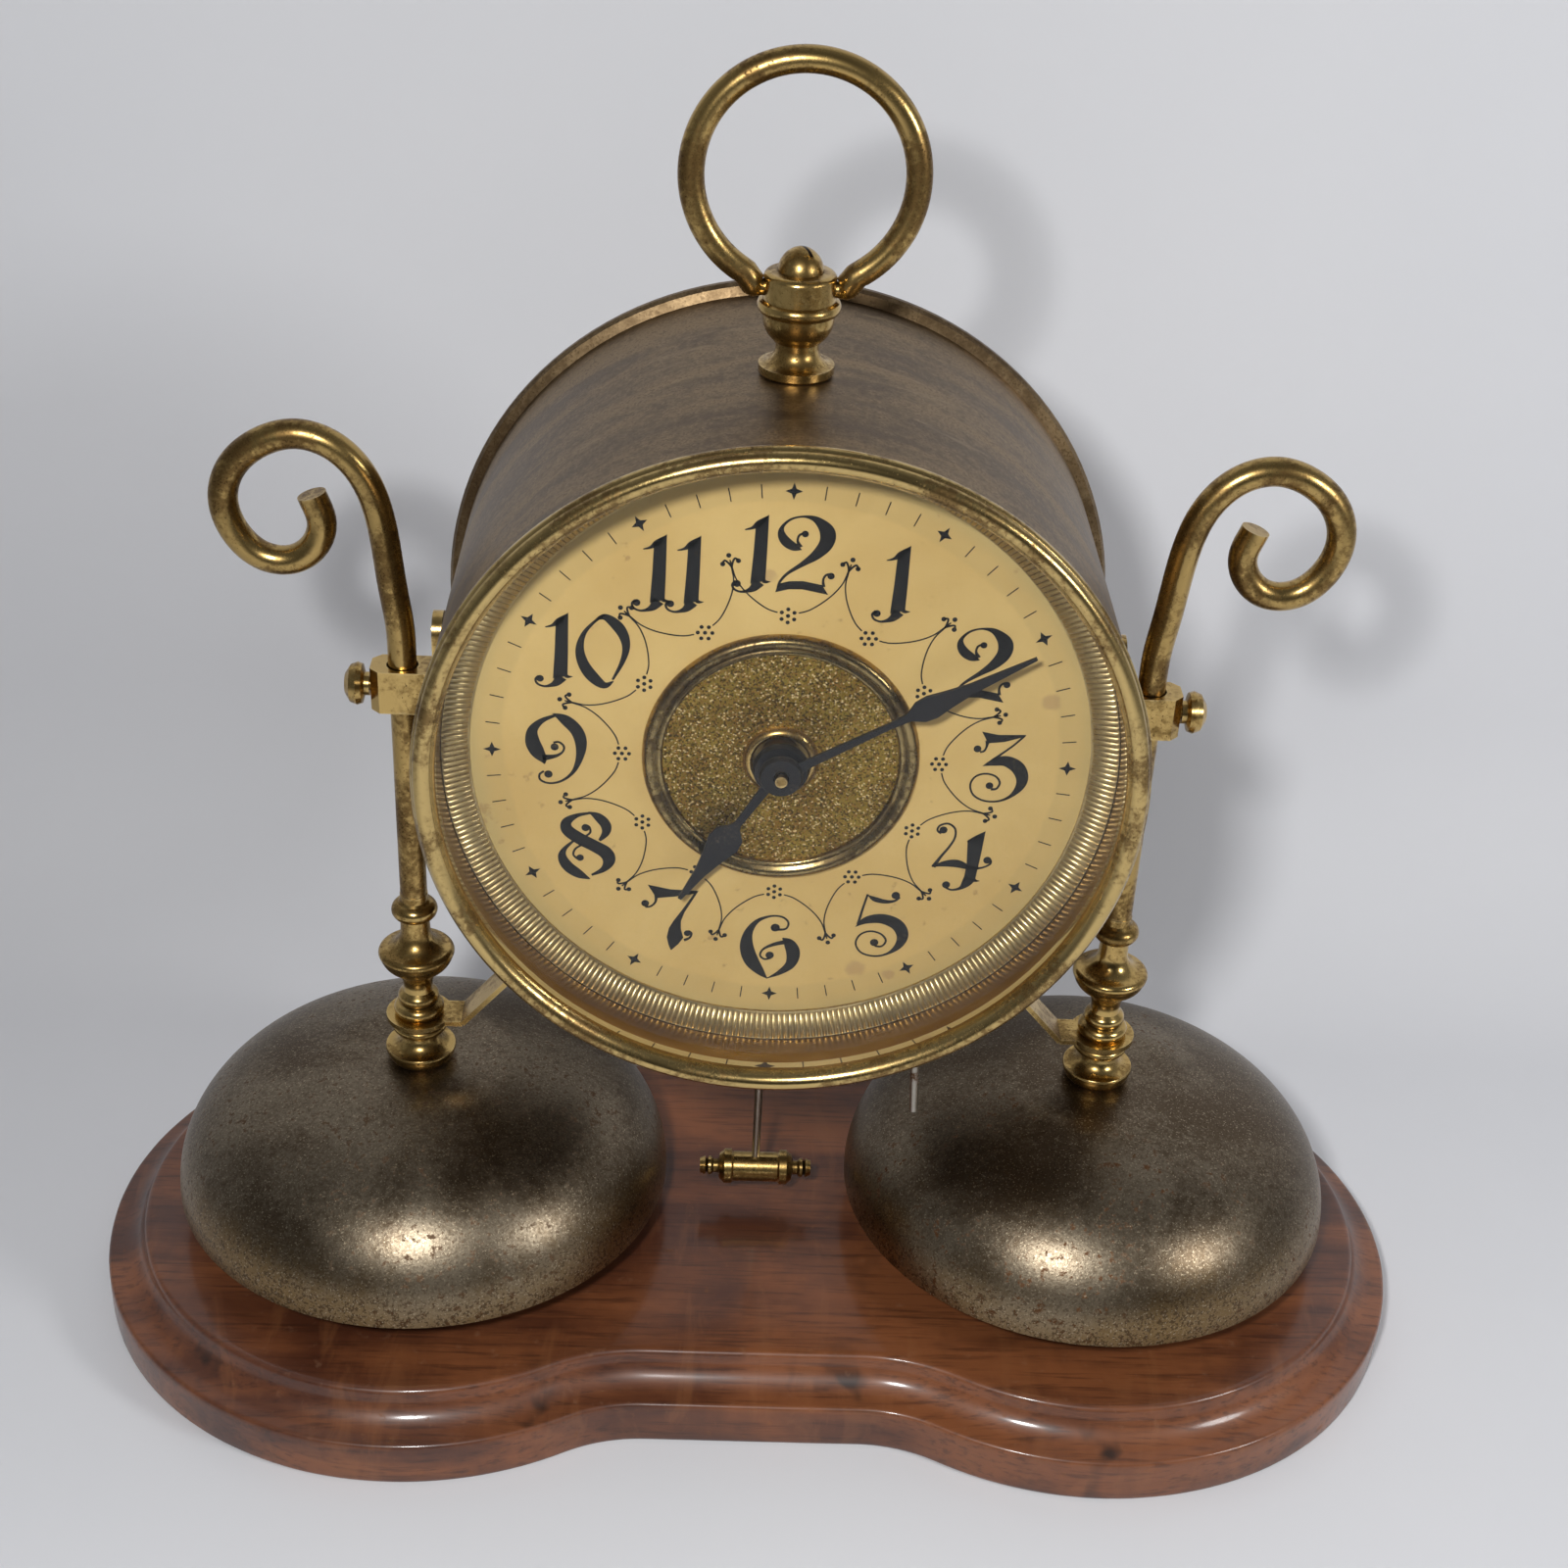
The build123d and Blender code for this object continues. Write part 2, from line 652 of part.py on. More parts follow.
def make_clamp(side, name):
    # square block on a rounded lug that is fixed to the drum, and its thumb screw
    lug_x = shell_radius + 0.12
    outer_x = post_x + block_half_width
    bottom = block_z - block_height / 2
    with BuildPart() as block:
        with BuildSketch(Plane.XY.offset(bottom)):
            with Locations((side * (lug_x + outer_x) / 2, 0)):
                Rectangle(outer_x - lug_x, block_depth)
        extrude(amount=block_height)
        outer = block.edges().filter_by(Axis.Z).filter_by(lambda e: abs(e.center().X) > post_x)
        chamfer(outer, length=1.6)
        with BuildSketch(Plane(origin=(side * lug_x, 0, 0), x_dir=(0, 1, 0), z_dir=(side, 0, 0))):
            top = bottom + lug_height
            sign = side
            with Locations((0, sign * (bottom + top) / 2)):
                Rectangle(block_depth, top - bottom)
            with Locations((0, sign * top)):
                Circle(block_depth / 2)
        extrude(amount=lug_thickness)
        with BuildSketch(Plane.XY.offset(bottom)):
            with Locations((side * post_x, 0)):
                Circle(rod_hole_radius)
        extrude(amount=block_height, mode=Mode.SUBTRACT)
        with BuildSketch(Plane(origin=(side * post_x, 0, block_z), x_dir=(0, 1, 0), z_dir=(side, 0, 0))):
            Circle(screw_stem_radius + running_fit)
        extrude(amount=block_half_width + 1, mode=Mode.SUBTRACT)
    save(block, f"{name}_clamp_block")
    tip = rod_radius + 0.1
    reach = block_half_width + 0.3
    knob = screw_knob_radius
    profile = [
        (0, tip), (screw_stem_radius, tip), (screw_stem_radius, reach), (knob * 0.55, reach),
        (knob * 0.55, reach + 0.9), (knob * 0.92, reach + 1.3), (knob, reach + 2.2),
        (knob * 0.88, reach + 3.4), (knob * 0.5, reach + 4.3), (0, reach + 4.6),
    ]
    with BuildPart() as screw:
        with BuildSketch(Plane(origin=(side * post_x, 0, block_z), x_dir=(0, 1, 0), z_dir=(0, 0, side))):
            with BuildLine():
                Polyline(*[(r, -d) for r, d in profile], close=True)
            make_face()
        revolve(axis=Axis((0, 0, block_z), (1, 0, 0)))
    save(screw, f"{name}_thumb_screw")


def make_strap_screws():
    # round-headed screws through the strap feet into the drum
    with BuildPart() as strap_screws:
        for side in (-1, 1):
            hole_x, hole_z, slope = strap_screw_place()
            out = (side * sin(slope), 0, -cos(slope))
            seat = strap_thickness * 1.02 + 0.3
            origin = (side * hole_x + out[0] * seat, 0, hole_z + out[2] * seat)
            with BuildSketch(Plane(origin=origin, x_dir=(0, 1, 0), z_dir=out)):
                Circle(2.2)
            extrude(amount=1.2)
            with BuildSketch(Plane(origin=origin, x_dir=(0, 1, 0), z_dir=(-out[0], 0, -out[2]))):
                Circle(strap_screw_radius)
            extrude(amount=seat + 0.6)
    save(strap_screws, "strap_screws")


def make_hand(name, stations, hub_radius, bore, y_front, clock_angle):
    # flat hand: stem, leaf and point from (distance, half width), with a round raised hub
    angle = radians(90 - clock_angle)
    outline = [(d, w) for d, w in stations] + [(d, -w) for d, w in reversed(stations)]
    points = [(d * cos(angle) - w * sin(angle), drum_z + d * sin(angle) + w * cos(angle)) for d, w in outline]
    with BuildPart() as hand:
        with BuildSketch(facing(y_front + hand_thickness)):
            with BuildLine():
                Polyline(*points, close=True)
            make_face()
            with Locations(centre_place):
                Circle(hub_radius)
                Circle(bore, mode=Mode.SUBTRACT)
        extrude(amount=hand_thickness)
        with BuildSketch(facing(y_front)):
            with Locations(centre_place):
                Circle(hub_radius)
                Circle(bore, mode=Mode.SUBTRACT)
        extrude(amount=0.7, taper=25)
    save(hand, name)


def make_key(name, place, y_hub, wing):
    # winding key: arbor, hub and a two-winged thumb piece
    with BuildPart() as key:
        add(rod_along(place, key_arbor_radius, front_plate_y, y_hub + 2).part)
        add(rod_along(place, key_arbor_radius + 1.7, y_hub, y_hub + 7).part)
        with BuildSketch(Plane(origin=(place[0], y_hub + 6, place[1] - 0.7), x_dir=(1, 0, 0), z_dir=(0, 0, 1))):
            with Locations((-wing * 0.62, 4.0), (wing * 0.62, 4.0)):
                Ellipse(wing * 0.55, 4.8)
            with Locations((0, 1.0)):
                Rectangle(wing * 0.7, 3.4)
        extrude(amount=1.4)
    save(key, name)


def make_knob(name, place, y_hub, radius, y_start):
    # arbor with a milled round knob at the back
    with BuildPart() as knob:
        add(rod_along(place, centre_arbor_radius, y_start, y_hub + 1).part)
        with BuildSketch(facing(y_hub + 4)):
            with BuildLine():
                Polyline(*[(place[0] + (radius - 0.35 * (i % 2)) * cos(radians(i * 9)),
                            place[1] + (radius - 0.35 * (i % 2)) * sin(radians(i * 9)))
                           for i in range(40)], close=True)
            make_face()
        extrude(amount=4)
    return knob


def make_barrel(name, wheel_name, place, teeth, module, y_wheel, turn):
    # toothed barrel: great wheel and open drum in one, with the wound spring inside
    with BuildPart() as barrel:
        add(gear(teeth, module, y_wheel, 1.6, key_arbor_radius + running_fit, place, turn).part)
        with BuildSketch(facing(y_wheel + 13.6)):
            with Locations(place):
                Circle(barrel_radius)
                Circle(barrel_radius - barrel_wall, mode=Mode.SUBTRACT)
        extrude(amount=12.2)
    save(barrel, wheel_name)
    save(disc(barrel_radius - barrel_wall - 0.3, key_arbor_radius + 0.3, y_wheel + 1.9, 10.6,
              place[0], place[1]), name)


def spiral_strip(place):
    # both edges of the flat hairspring, from its outer pin inwards
    outer, inner = [], []
    steps = hairspring_turns * 18
    for index in range(steps + 1):
        angle = 2 * pi * index / 18
        radius = hairspring_outer - (hairspring_outer - 1.6) * index / steps
        for edge, offset in ((outer, hairspring_strip), (inner, -hairspring_strip)):
            edge.append((place[0] + (radius + offset) * cos(angle), place[1] + (radius + offset) * sin(angle)))
    return outer + inner[::-1]


def make_movement():
    back = back_plate_y + plate_thickness
    holes = [
        (centre_place, centre_arbor_radius), (time_key_place, key_arbor_radius),
        (alarm_key_place, key_arbor_radius), (alarm_set_place, centre_arbor_radius),
        (third_place, arbor_radius), (escape_place, arbor_radius), (pallet_place, arbor_radius),
        (balance_place, arbor_radius), ((0, hammer_pivot_z), arbor_radius),
        (alarm_escape_place, arbor_radius), ((lever_x, lever_pivot_z), arbor_radius),
    ]
    for name, depth in (("movement_front_plate", front_plate_y), ("movement_back_plate", back_plate_y)):
        with BuildPart() as plate:
            with BuildSketch(facing(depth + plate_thickness)):
                with Locations(centre_place):
                    Circle(plate_radius)
                    with PolarLocations(plate_pillar_ring, 4, start_angle=45):
                        Circle(plate_pillar_radius, mode=Mode.SUBTRACT)
                for place, radius in holes:
                    with Locations(place):
                        Circle(radius + pivot_clearance, mode=Mode.SUBTRACT)
            extrude(amount=plate_thickness)
        save(plate, name)
    with BuildPart() as plate_pillars:
        with BuildSketch(facing(back + 1.0)):
            with Locations(centre_place):
                with PolarLocations(plate_pillar_ring, 4, start_angle=45):
                    Circle(plate_pillar_radius)
        extrude(amount=back + 1.0 - front_plate_y)
        pad = plate_pillar_radius + 0.7
        with BuildSketch(facing(back_plate_y)):
            with Locations(centre_place):
                with PolarLocations(plate_pillar_ring, 4, start_angle=45):
                    Circle(pad)
        extrude(amount=back_plate_y - front_plate_y - plate_thickness)
    save(plate_pillars, "plate_pillars")
    with BuildPart() as dial_feet:
        with BuildSketch(facing(front_plate_y)):
            with Locations(centre_place):
                with PolarLocations(dial_foot_ring, 4, start_angle=0):
                    Circle(2.0)
        extrude(amount=front_plate_y - dial_y - paper_thickness - dial_plate_thickness)
    save(dial_feet, "dial_feet")
    # motion work between the dial and the front plate
    cannon_y = front_plate_y - 1.8
    with BuildPart() as cannon_pinion:
        add(gear(cannon_teeth, cannon_module, cannon_y, 1.4, 0, turn=0.0).part)
        add(rod_along(centre_place, cannon_pipe, minute_hand_y + hand_thickness, cannon_y + 0.5).part)
        with BuildSketch(facing(cannon_y + 2)):
            with Locations(centre_place):
                Circle(centre_arbor_radius)
        extrude(amount=20, mode=Mode.SUBTRACT)
    save(cannon_pinion, "cannon_pinion")
    minute_turn = mesh_turn(minute_place, centre_place, cannon_teeth, 0.0, minute_wheel_teeth)
    hour_y = cannon_y - 1.9
    with BuildPart() as minute_wheel:
        add(gear(minute_wheel_teeth, cannon_module, cannon_y + 0.2, 1.0, 0, minute_place, minute_turn).part)
        add(gear(minute_pinion_teeth, hour_module, hour_y, 2.3, 0, minute_place, minute_turn).part)
        with BuildSketch(facing(cannon_y + 2)):
            with Locations(minute_place):
                Circle(arbor_radius + pivot_clearance)
        extrude(amount=6, mode=Mode.SUBTRACT)
    save(minute_wheel, "minute_wheel")
    save(rod_along(minute_place, arbor_radius, hour_y - 0.1, front_plate_y), "motion_stud")
    hour_turn = mesh_turn(centre_place, minute_place, minute_pinion_teeth, minute_turn, hour_wheel_teeth)
    with BuildPart() as hour_wheel:
        add(gear(hour_wheel_teeth, hour_module, hour_y + 0.1, 1.0, 0, turn=hour_turn).part)
        add(rod_along(centre_place, 3.2, hour_hand_y + hand_thickness, hour_y + 0.5).part)
        with BuildSketch(facing(hour_y + 2)):
            with Locations(centre_place):
                Circle(cannon_pipe + running_fit)
        extrude(amount=20, mode=Mode.SUBTRACT)
    save(hour_wheel, "hour_wheel")
    # going train between the plates
    great_y = front_plate_y + 3.0
    centre_y = great_y + 6.0
    third_y = centre_y + 6.0
    escape_y = third_y + 7.0
    with BuildPart() as centre_arbor:
        add(rod_along(centre_place, centre_arbor_radius, minute_hand_y - 1.9, rear_cover_y + 5).part)
        add(gear(centre_pinion_teeth, great_module, great_y - 0.6, 2.8, 0, turn=0.0).part)
    save(centre_arbor, "centre_arbor")
    save(gear(centre_wheel_teeth, train_module, centre_y, 1.0, centre_arbor_radius, windows=5), "centre_wheel")
    knob = make_knob("hand_set_knob", centre_place, rear_cover_y + 5, 5.0, rear_cover_y + 4)
    with BuildPart() as hand_set_knob:
        add(knob.part)
        with BuildSketch(facing(rear_cover_y + 5)):
            with Locations(centre_place):
                Circle(centre_arbor_radius)
        extrude(amount=6, mode=Mode.SUBTRACT)
    save(hand_set_knob, "hand_set_knob")
    great_turn = mesh_turn(time_key_place, centre_place, centre_pinion_teeth, 0.0, great_teeth)
    make_barrel("time_mainspring", "time_barrel", time_key_place, great_teeth, great_module, great_y, great_turn)
    third_turn = mesh_turn(third_place, centre_place, centre_wheel_teeth, 0.0, third_pinion_teeth)
    with BuildPart() as third_wheel:
        add(gear(third_wheel_teeth, train_module, third_y, 1.0, 0, third_place, third_turn, windows=5).part)
        add(gear(third_pinion_teeth, train_module, centre_y - 0.6, 2.2, 0, third_place, third_turn).part)
        add(rod_along(third_place, arbor_radius, front_plate_y, back).part)
    save(third_wheel, "third_wheel")
    escape_turn = mesh_turn(escape_place, third_place, third_wheel_teeth, third_turn, escape_pinion_teeth)
    with BuildPart() as escape_wheel:
        add(gear(escape_pinion_teeth, train_module, third_y - 0.6, 2.2, 0, escape_place, escape_turn).part)
        add(rod_along(escape_place, arbor_radius, front_plate_y, back).part)
        add(saw_wheel(escape_place, escape_radius, escape_teeth, escape_y, 0.8).part)
    save(escape_wheel, "escape_wheel")
    with BuildPart() as pallet_lever:
        add(rod_along(pallet_place, arbor_radius, front_plate_y, escape_y + 2.0).part)
        with BuildSketch(facing(escape_y + 0.8)):
            with Locations(pallet_place):
                Rectangle(2.2, 7.6)
            with Locations((pallet_place[0] - 0.9, pallet_place[1] + 3.3),
                           (pallet_place[0] - 0.9, pallet_place[1] - 3.3)):
                Rectangle(2.0, 0.8)
            with Locations((pallet_place[0] + 2.5, pallet_place[1])):
                Rectangle(5.0, 1.2)
        extrude(amount=0.8)
    save(pallet_lever, "pallet_lever")
    balance_y = escape_y + 3.4
    with BuildPart() as balance_wheel:
        with BuildSketch(facing(balance_y + 1.4)):
            with Locations(balance_place):
                Circle(balance_radius)
                Circle(balance_radius - 1.2, mode=Mode.SUBTRACT)
                Rectangle(2 * balance_radius - 1.0, 1.6)
                Circle(1.8)
        extrude(amount=1.4)
        add(rod_along(balance_place, arbor_radius, front_plate_y, back).part)
    save(balance_wheel, "balance_wheel")
    with BuildPart() as hairspring:
        with BuildSketch(facing(back_plate_y - 0.2)):
            with BuildLine():
                Polyline(*spiral_strip(balance_place), close=True)
            make_face()
        extrude(amount=0.6)
        with BuildSketch(facing(back_plate_y)):
            with Locations((balance_place[0] + hairspring_outer, balance_place[1])):
                Circle(0.5)
        extrude(amount=0.8)
    save(hairspring, "hairspring")
    # alarm train
    alarm_y = front_plate_y + 6.0
    make_barrel("alarm_mainspring", "alarm_barrel", alarm_key_place, alarm_wheel_teeth, alarm_module, alarm_y, 0.0)
    alarm_turn = mesh_turn(alarm_escape_place, alarm_key_place, alarm_wheel_teeth, 0.0, alarm_pinion_teeth)
    with BuildPart() as alarm_escape_wheel:
        add(gear(alarm_pinion_teeth, alarm_module, alarm_y - 0.6, 2.8, 0, alarm_escape_place, alarm_turn).part)
        add(rod_along(alarm_escape_place, arbor_radius, front_plate_y, back).part)
        add(saw_wheel(alarm_escape_place, 5.0, 12, verge_y, 1.0).part)
    save(alarm_escape_wheel, "alarm_escape_wheel")
    with BuildPart() as alarm_set_knob:
        add(make_knob("alarm_set_knob", alarm_set_place, rear_cover_y + 4, 4.0, front_plate_y).part)
        add(rod_along(alarm_set_place, 5.0, front_plate_y + 3.0, front_plate_y + 4.4).part)
    save(alarm_set_knob, "alarm_set_knob")
    make_key("time_key", time_key_place, rear_cover_y + 4, 11.0)
    make_key("alarm_key", alarm_key_place, rear_cover_y + 4, 9.0)


def saw_wheel(place, radius, teeth, y_front, thickness):
    # escape wheel with pointed, raked teeth
    points = []
    for index in range(teeth):
        angle = 360.0 * index / teeth
        for share, reach in ((0.0, radius), (0.12, radius * 0.97), (0.55, radius * 0.74)):
            turn = radians(angle + share * 360.0 / teeth)
            points.append((place[0] + reach * cos(turn), place[1] + reach * sin(turn)))
    with BuildPart() as wheel:
        with BuildSketch(facing(y_front + thickness)):
            with BuildLine():
                Polyline(*points, close=True)
            make_face()
        extrude(amount=thickness)
    return wheel


def make_hammer():
    # arbor with the verge, a thin rod through the drum's slot, and a turned double-ended head
    with BuildPart() as hammer_arbor:
        add(rod_along((0, hammer_pivot_z), arbor_radius, front_plate_y, back_plate_y + plate_thickness).part)
        add(rod_along((0, hammer_pivot_z), 2.0, -2.0, 2.0).part)
        with BuildSketch(facing(verge_y + 1.0)):
            with Locations((0, hammer_pivot_z + 1.2)):
                Rectangle(11.0, 2.0)
            with Locations((-4.9, hammer_pivot_z + 2.4), (4.9, hammer_pivot_z + 2.4)):
                Rectangle(1.2, 2.6)
        extrude(amount=1.0)
        with BuildSketch(Plane.XY.offset(hammer_pivot_z - 2.2)):
            Circle(hammer_rod_radius)
        extrude(amount=1.2, mode=Mode.SUBTRACT)
    save(hammer_arbor, "hammer_arbor")
    with BuildPart() as hammer_rod:
        with BuildSketch(Plane.XY.offset(hammer_head_z)):
            Circle(hammer_rod_radius)
        extrude(amount=hammer_pivot_z - 1.0 - hammer_head_z)
    save(hammer_rod, "hammer_rod")
    half = [
        (0.0, 3.0), (4.4, 3.0), (4.8, 3.5), (6.2, 3.5), (6.6, 3.1), (7.2, 2.6), (7.5, 1.4), (8.4, 1.4),
        (8.9, 1.9), (9.4, 1.9), (9.7, 1.3), (10.1, 1.9), (hammer_half_length, 1.5), (hammer_half_length, 0.0),
    ]
    with BuildPart() as hammer_head:
        with BuildSketch(Plane.XZ):
            with BuildLine():
                Polyline(*[(-d, hammer_head_z + r) for d, r in reversed(half)],
                         *[(d, hammer_head_z + r) for d, r in half[1:]], close=True)
            make_face()
        revolve(axis=Axis((0, 0, hammer_head_z), (1, 0, 0)))
        with BuildSketch(Plane.XY.offset(hammer_head_z)):
            Circle(hammer_rod_radius)
        extrude(amount=6, mode=Mode.SUBTRACT)
    save(hammer_head, "hammer_head")


def make_lever():
    # thin pin through the drum's underside that holds the alarm train still
    with BuildPart() as silencing_lever:
        with BuildLine() as path:
            Line((lever_x, lever_y, lever_pivot_z), (lever_x + lever_lean * 0.5, lever_y, lever_end_z))
        with BuildSketch(Plane(origin=path.line @ 0, z_dir=path.line % 0)):
            Circle(hammer_rod_radius)
        sweep(path=path.wires()[0])
        add(rod_along((lever_x, lever_pivot_z), arbor_radius, front_plate_y, back_plate_y + 1.2).part)
        add(rod_along((lever_x, lever_pivot_z), 2.0, lever_y - 1.5, lever_y + 1.5).part)
    save(silencing_lever, "silencing_lever")


os.makedirs("parts", exist_ok=True)
make_base()
make_bell_fixings()
for side, name in ((-1, "left"), (1, "right")):
    make_bell(side, name)
    make_post(side, name)
    make_strap(side, name)
    make_clamp(side, name)
make_strap_screws()
make_drum()
make_handle()
make_movement()
make_hand("minute_hand", minute_stations, 3.6, centre_arbor_radius, minute_hand_y, minute_angle)
make_hand("hour_hand", hour_stations, 4.6, cannon_pipe + running_fit, hour_hand_y, hour_angle)
make_hammer()
make_lever()
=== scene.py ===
import math
import bmesh
import bpy
from mathutils import Matrix, Vector, noise
from mathutils.geometry import tessellate_polygon


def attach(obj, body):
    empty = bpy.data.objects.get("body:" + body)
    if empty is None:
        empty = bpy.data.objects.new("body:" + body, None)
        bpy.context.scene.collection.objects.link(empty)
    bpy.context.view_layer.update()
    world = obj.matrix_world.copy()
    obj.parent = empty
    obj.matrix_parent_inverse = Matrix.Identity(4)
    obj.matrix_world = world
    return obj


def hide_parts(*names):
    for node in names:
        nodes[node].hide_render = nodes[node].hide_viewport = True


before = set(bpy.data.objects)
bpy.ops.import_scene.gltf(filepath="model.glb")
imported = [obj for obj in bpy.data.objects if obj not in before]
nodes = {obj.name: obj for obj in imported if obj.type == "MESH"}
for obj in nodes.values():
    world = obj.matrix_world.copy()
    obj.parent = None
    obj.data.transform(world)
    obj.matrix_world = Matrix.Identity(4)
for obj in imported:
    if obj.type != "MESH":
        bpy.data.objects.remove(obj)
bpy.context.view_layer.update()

# Wood base: one board with a round lobe under each bell, cut to a moulded edge, stained red-brown
# and varnished. The underside has a hollow for the nut of each bell pillar.


class Wire:
    """A shader socket that can be written in sums."""

    def __init__(self, tree, socket):
        self.tree = tree
        self.socket = socket

    def joined(self, operation, *values):
        made = self.tree.nodes.new("ShaderNodeMath")
        made.operation = operation
        for place, value in enumerate(values):
            if isinstance(value, Wire):
                self.tree.links.new(value.socket, made.inputs[place])
            else:
                made.inputs[place].default_value = value
        return Wire(self.tree, made.outputs[0])

    def __add__(self, other):
        return self.joined("ADD", self, other)

    __radd__ = __add__

    def __sub__(self, other):
        return self.joined("SUBTRACT", self, other)

    def __rsub__(self, other):
        return self.joined("SUBTRACT", other, self)

    def __mul__(self, other):
        return self.joined("MULTIPLY", self, other)


class Finish:
    """One finish of the clock, wired up node by node."""

    def __init__(self, name, **fixed):
        self.material = bpy.data.materials.new(name)
        self.material.use_nodes = True
        self.tree = self.material.node_tree
        self.shader = self.tree.nodes["Principled BSDF"]
        for socket, value in fixed.items():
            self.shader.inputs[socket.replace("_", " ")].default_value = value
        self.place = self.node("ShaderNodeTexCoord", out="Object")

    def node(self, kind, settings=None, values=None, out=0):
        made = self.tree.nodes.new(kind)
        for key, value in (settings or {}).items():
            setattr(made, key, value)
        for key, value in (values or {}).items():
            if isinstance(value, Wire):
                self.tree.links.new(value.socket, made.inputs[key])
            else:
                made.inputs[key].default_value = value
        return Wire(self.tree, made.outputs[out])

    def stretched(self, x, y, z):
        return self.node("ShaderNodeMapping", None, {"Vector": self.place, "Scale": (x, y, z)})

    def cloud(self, scale, detail=4.0, where=None, twist=0.0):
        return self.node("ShaderNodeTexNoise", None, {
            "Vector": where or self.place, "Scale": scale, "Detail": detail,
            "Roughness": 0.6, "Distortion": twist})

    def rise(self, value, low, high):
        return self.node("ShaderNodeMapRange", {"interpolation_type": "SMOOTHSTEP"},
                         {"Value": value, "From Min": low, "From Max": high})

    def tint(self, amount, first, second):
        colours = [c if isinstance(c, Wire) else (*c, 1.0) for c in (first, second)]
        return self.node("ShaderNodeMix", {"data_type": "RGBA"},
                         {0: amount, 6: colours[0], 7: colours[1]}, out=2)

    def openness(self, distance, inside=False):
        return self.node("ShaderNodeAmbientOcclusion", {"samples": 6, "only_local": True, "inside": inside},
                         {"Distance": distance}, out="AO")

    def relief(self, height, distance, strength=1.0):
        return self.node("ShaderNodeBump", None,
                         {"Height": height, "Distance": distance, "Strength": strength})

    def surface(self, **wires):
        for socket, wire in wires.items():
            self.tree.links.new(wire.socket, self.shader.inputs[socket.replace("_", " ")])


def give(finish, *names):
    for name in names:
        for held in nodes[name].material_slots:
            held.material = finish.material


def piece(name, corners, faces, *finishes, sharp=0.6):
    mesh = bpy.data.meshes.new(name)
    mesh.from_pydata([Vector(c) / 1000 for c in corners], [], faces)
    shaped = bmesh.new()
    shaped.from_mesh(mesh)
    bmesh.ops.remove_doubles(shaped, verts=shaped.verts, dist=1e-7)
    bmesh.ops.recalc_face_normals(shaped, faces=shaped.faces)
    shaped.to_mesh(mesh)
    shaped.free()
    mesh.shade_smooth()
    mesh.set_sharp_from_angle(angle=sharp)
    for finish in finishes:
        mesh.materials.append(finish.material)
    made = bpy.data.objects.new(name, mesh)
    bpy.context.scene.collection.objects.link(made)
    return made


post_x = 65.8
lobe_radius = 63.4
waist_half_depth = 51.4
waist_blend = 30.0
base_height = 15.8
pillar_bore = 2.15
nut_hollow = 7.0
nut_hollow_depth = 6.0


def base_loop(inset):
    # a quarter of the outline: lobe, hollow blend and straight waist, then mirrored round
    lobe = lobe_radius - inset
    hollow = waist_blend + inset
    drop = waist_half_depth - inset + hollow
    hollow_x = post_x - math.sqrt((lobe + hollow) ** 2 - drop ** 2)
    meet = math.atan2(drop, hollow_x - post_x)
    quarter = [(post_x + lobe * math.cos(meet * i / 60), lobe * math.sin(meet * i / 60)) for i in range(61)]
    start = math.atan2(-drop, post_x - hollow_x)
    for i in range(1, 17):
        angle = start + (-math.pi / 2 - start) * i / 16
        quarter.append((hollow_x + hollow * math.cos(angle), drop + hollow * math.sin(angle)))
    quarter += [(hollow_x * (1 - i / 12), waist_half_depth - inset) for i in range(1, 13)]
    half = quarter + [(-x, y) for x, y in reversed(quarter[:-1])]
    return half + [(x, -y) for x, y in reversed(half[1:-1])]


edge_profile = [(0.9, 0.0), (0.35, 0.15), (0.08, 0.5), (0.0, 1.0), (0.0, 3.0), (0.0, 5.0), (0.0, 7.0),
                (0.0, 8.2), (0.08, 8.75), (0.3, 9.15), (0.65, 9.36), (1.05, 9.4), (1.3, 9.46)]
edge_profile += [(1.35 + 6.2 * math.sin(s * math.pi / 2), 9.5 + 6.1 * (1 - math.cos(s * math.pi / 2)))
                 for s in (0.12, 0.25, 0.37, 0.5, 0.6, 0.7, 0.79, 0.87, 0.93)]
edge_profile += [(7.68, 15.25), (7.85, 15.5), (8.15, 15.7), (8.6, 15.79), (9.2, base_height)]
base_corners = []
for inset, height in edge_profile:
    for x, y in base_loop(inset):
        spot = Vector((x, y, height))
        uneven = noise.noise(spot * 0.03) * 0.12 + noise.noise(spot * 0.2) * 0.03
        ease = 1 - max(0.0, uneven + 0.1) / lobe_radius
        base_corners.append((x * ease, y * ease, height))
around = len(base_corners) // len(edge_profile)
base_faces = [(r * around + i, r * around + (i + 1) % around,
               (r + 1) * around + (i + 1) % around, (r + 1) * around + i)
              for r in range(len(edge_profile) - 1) for i in range(around)]


def circle(x, radius, z, count=48):
    return [(x + radius * math.cos(i * math.tau / count), radius * math.sin(i * math.tau / count), z)
            for i in range(count)]


def fill(corners, faces, loops):
    first = len(corners)
    flat = [[Vector(c) for c in loop] for loop in loops]
    for loop in loops:
        corners.extend(loop)
    faces.extend(tuple(first + i for i in face) for face in tessellate_polygon(flat))


def wall(corners, faces, lower, upper):
    first = len(corners)
    count = len(lower)
    corners.extend(lower)
    corners.extend(upper)
    faces.extend((first + i, first + (i + 1) % count, first + count + (i + 1) % count, first + count + i)
                 for i in range(count))


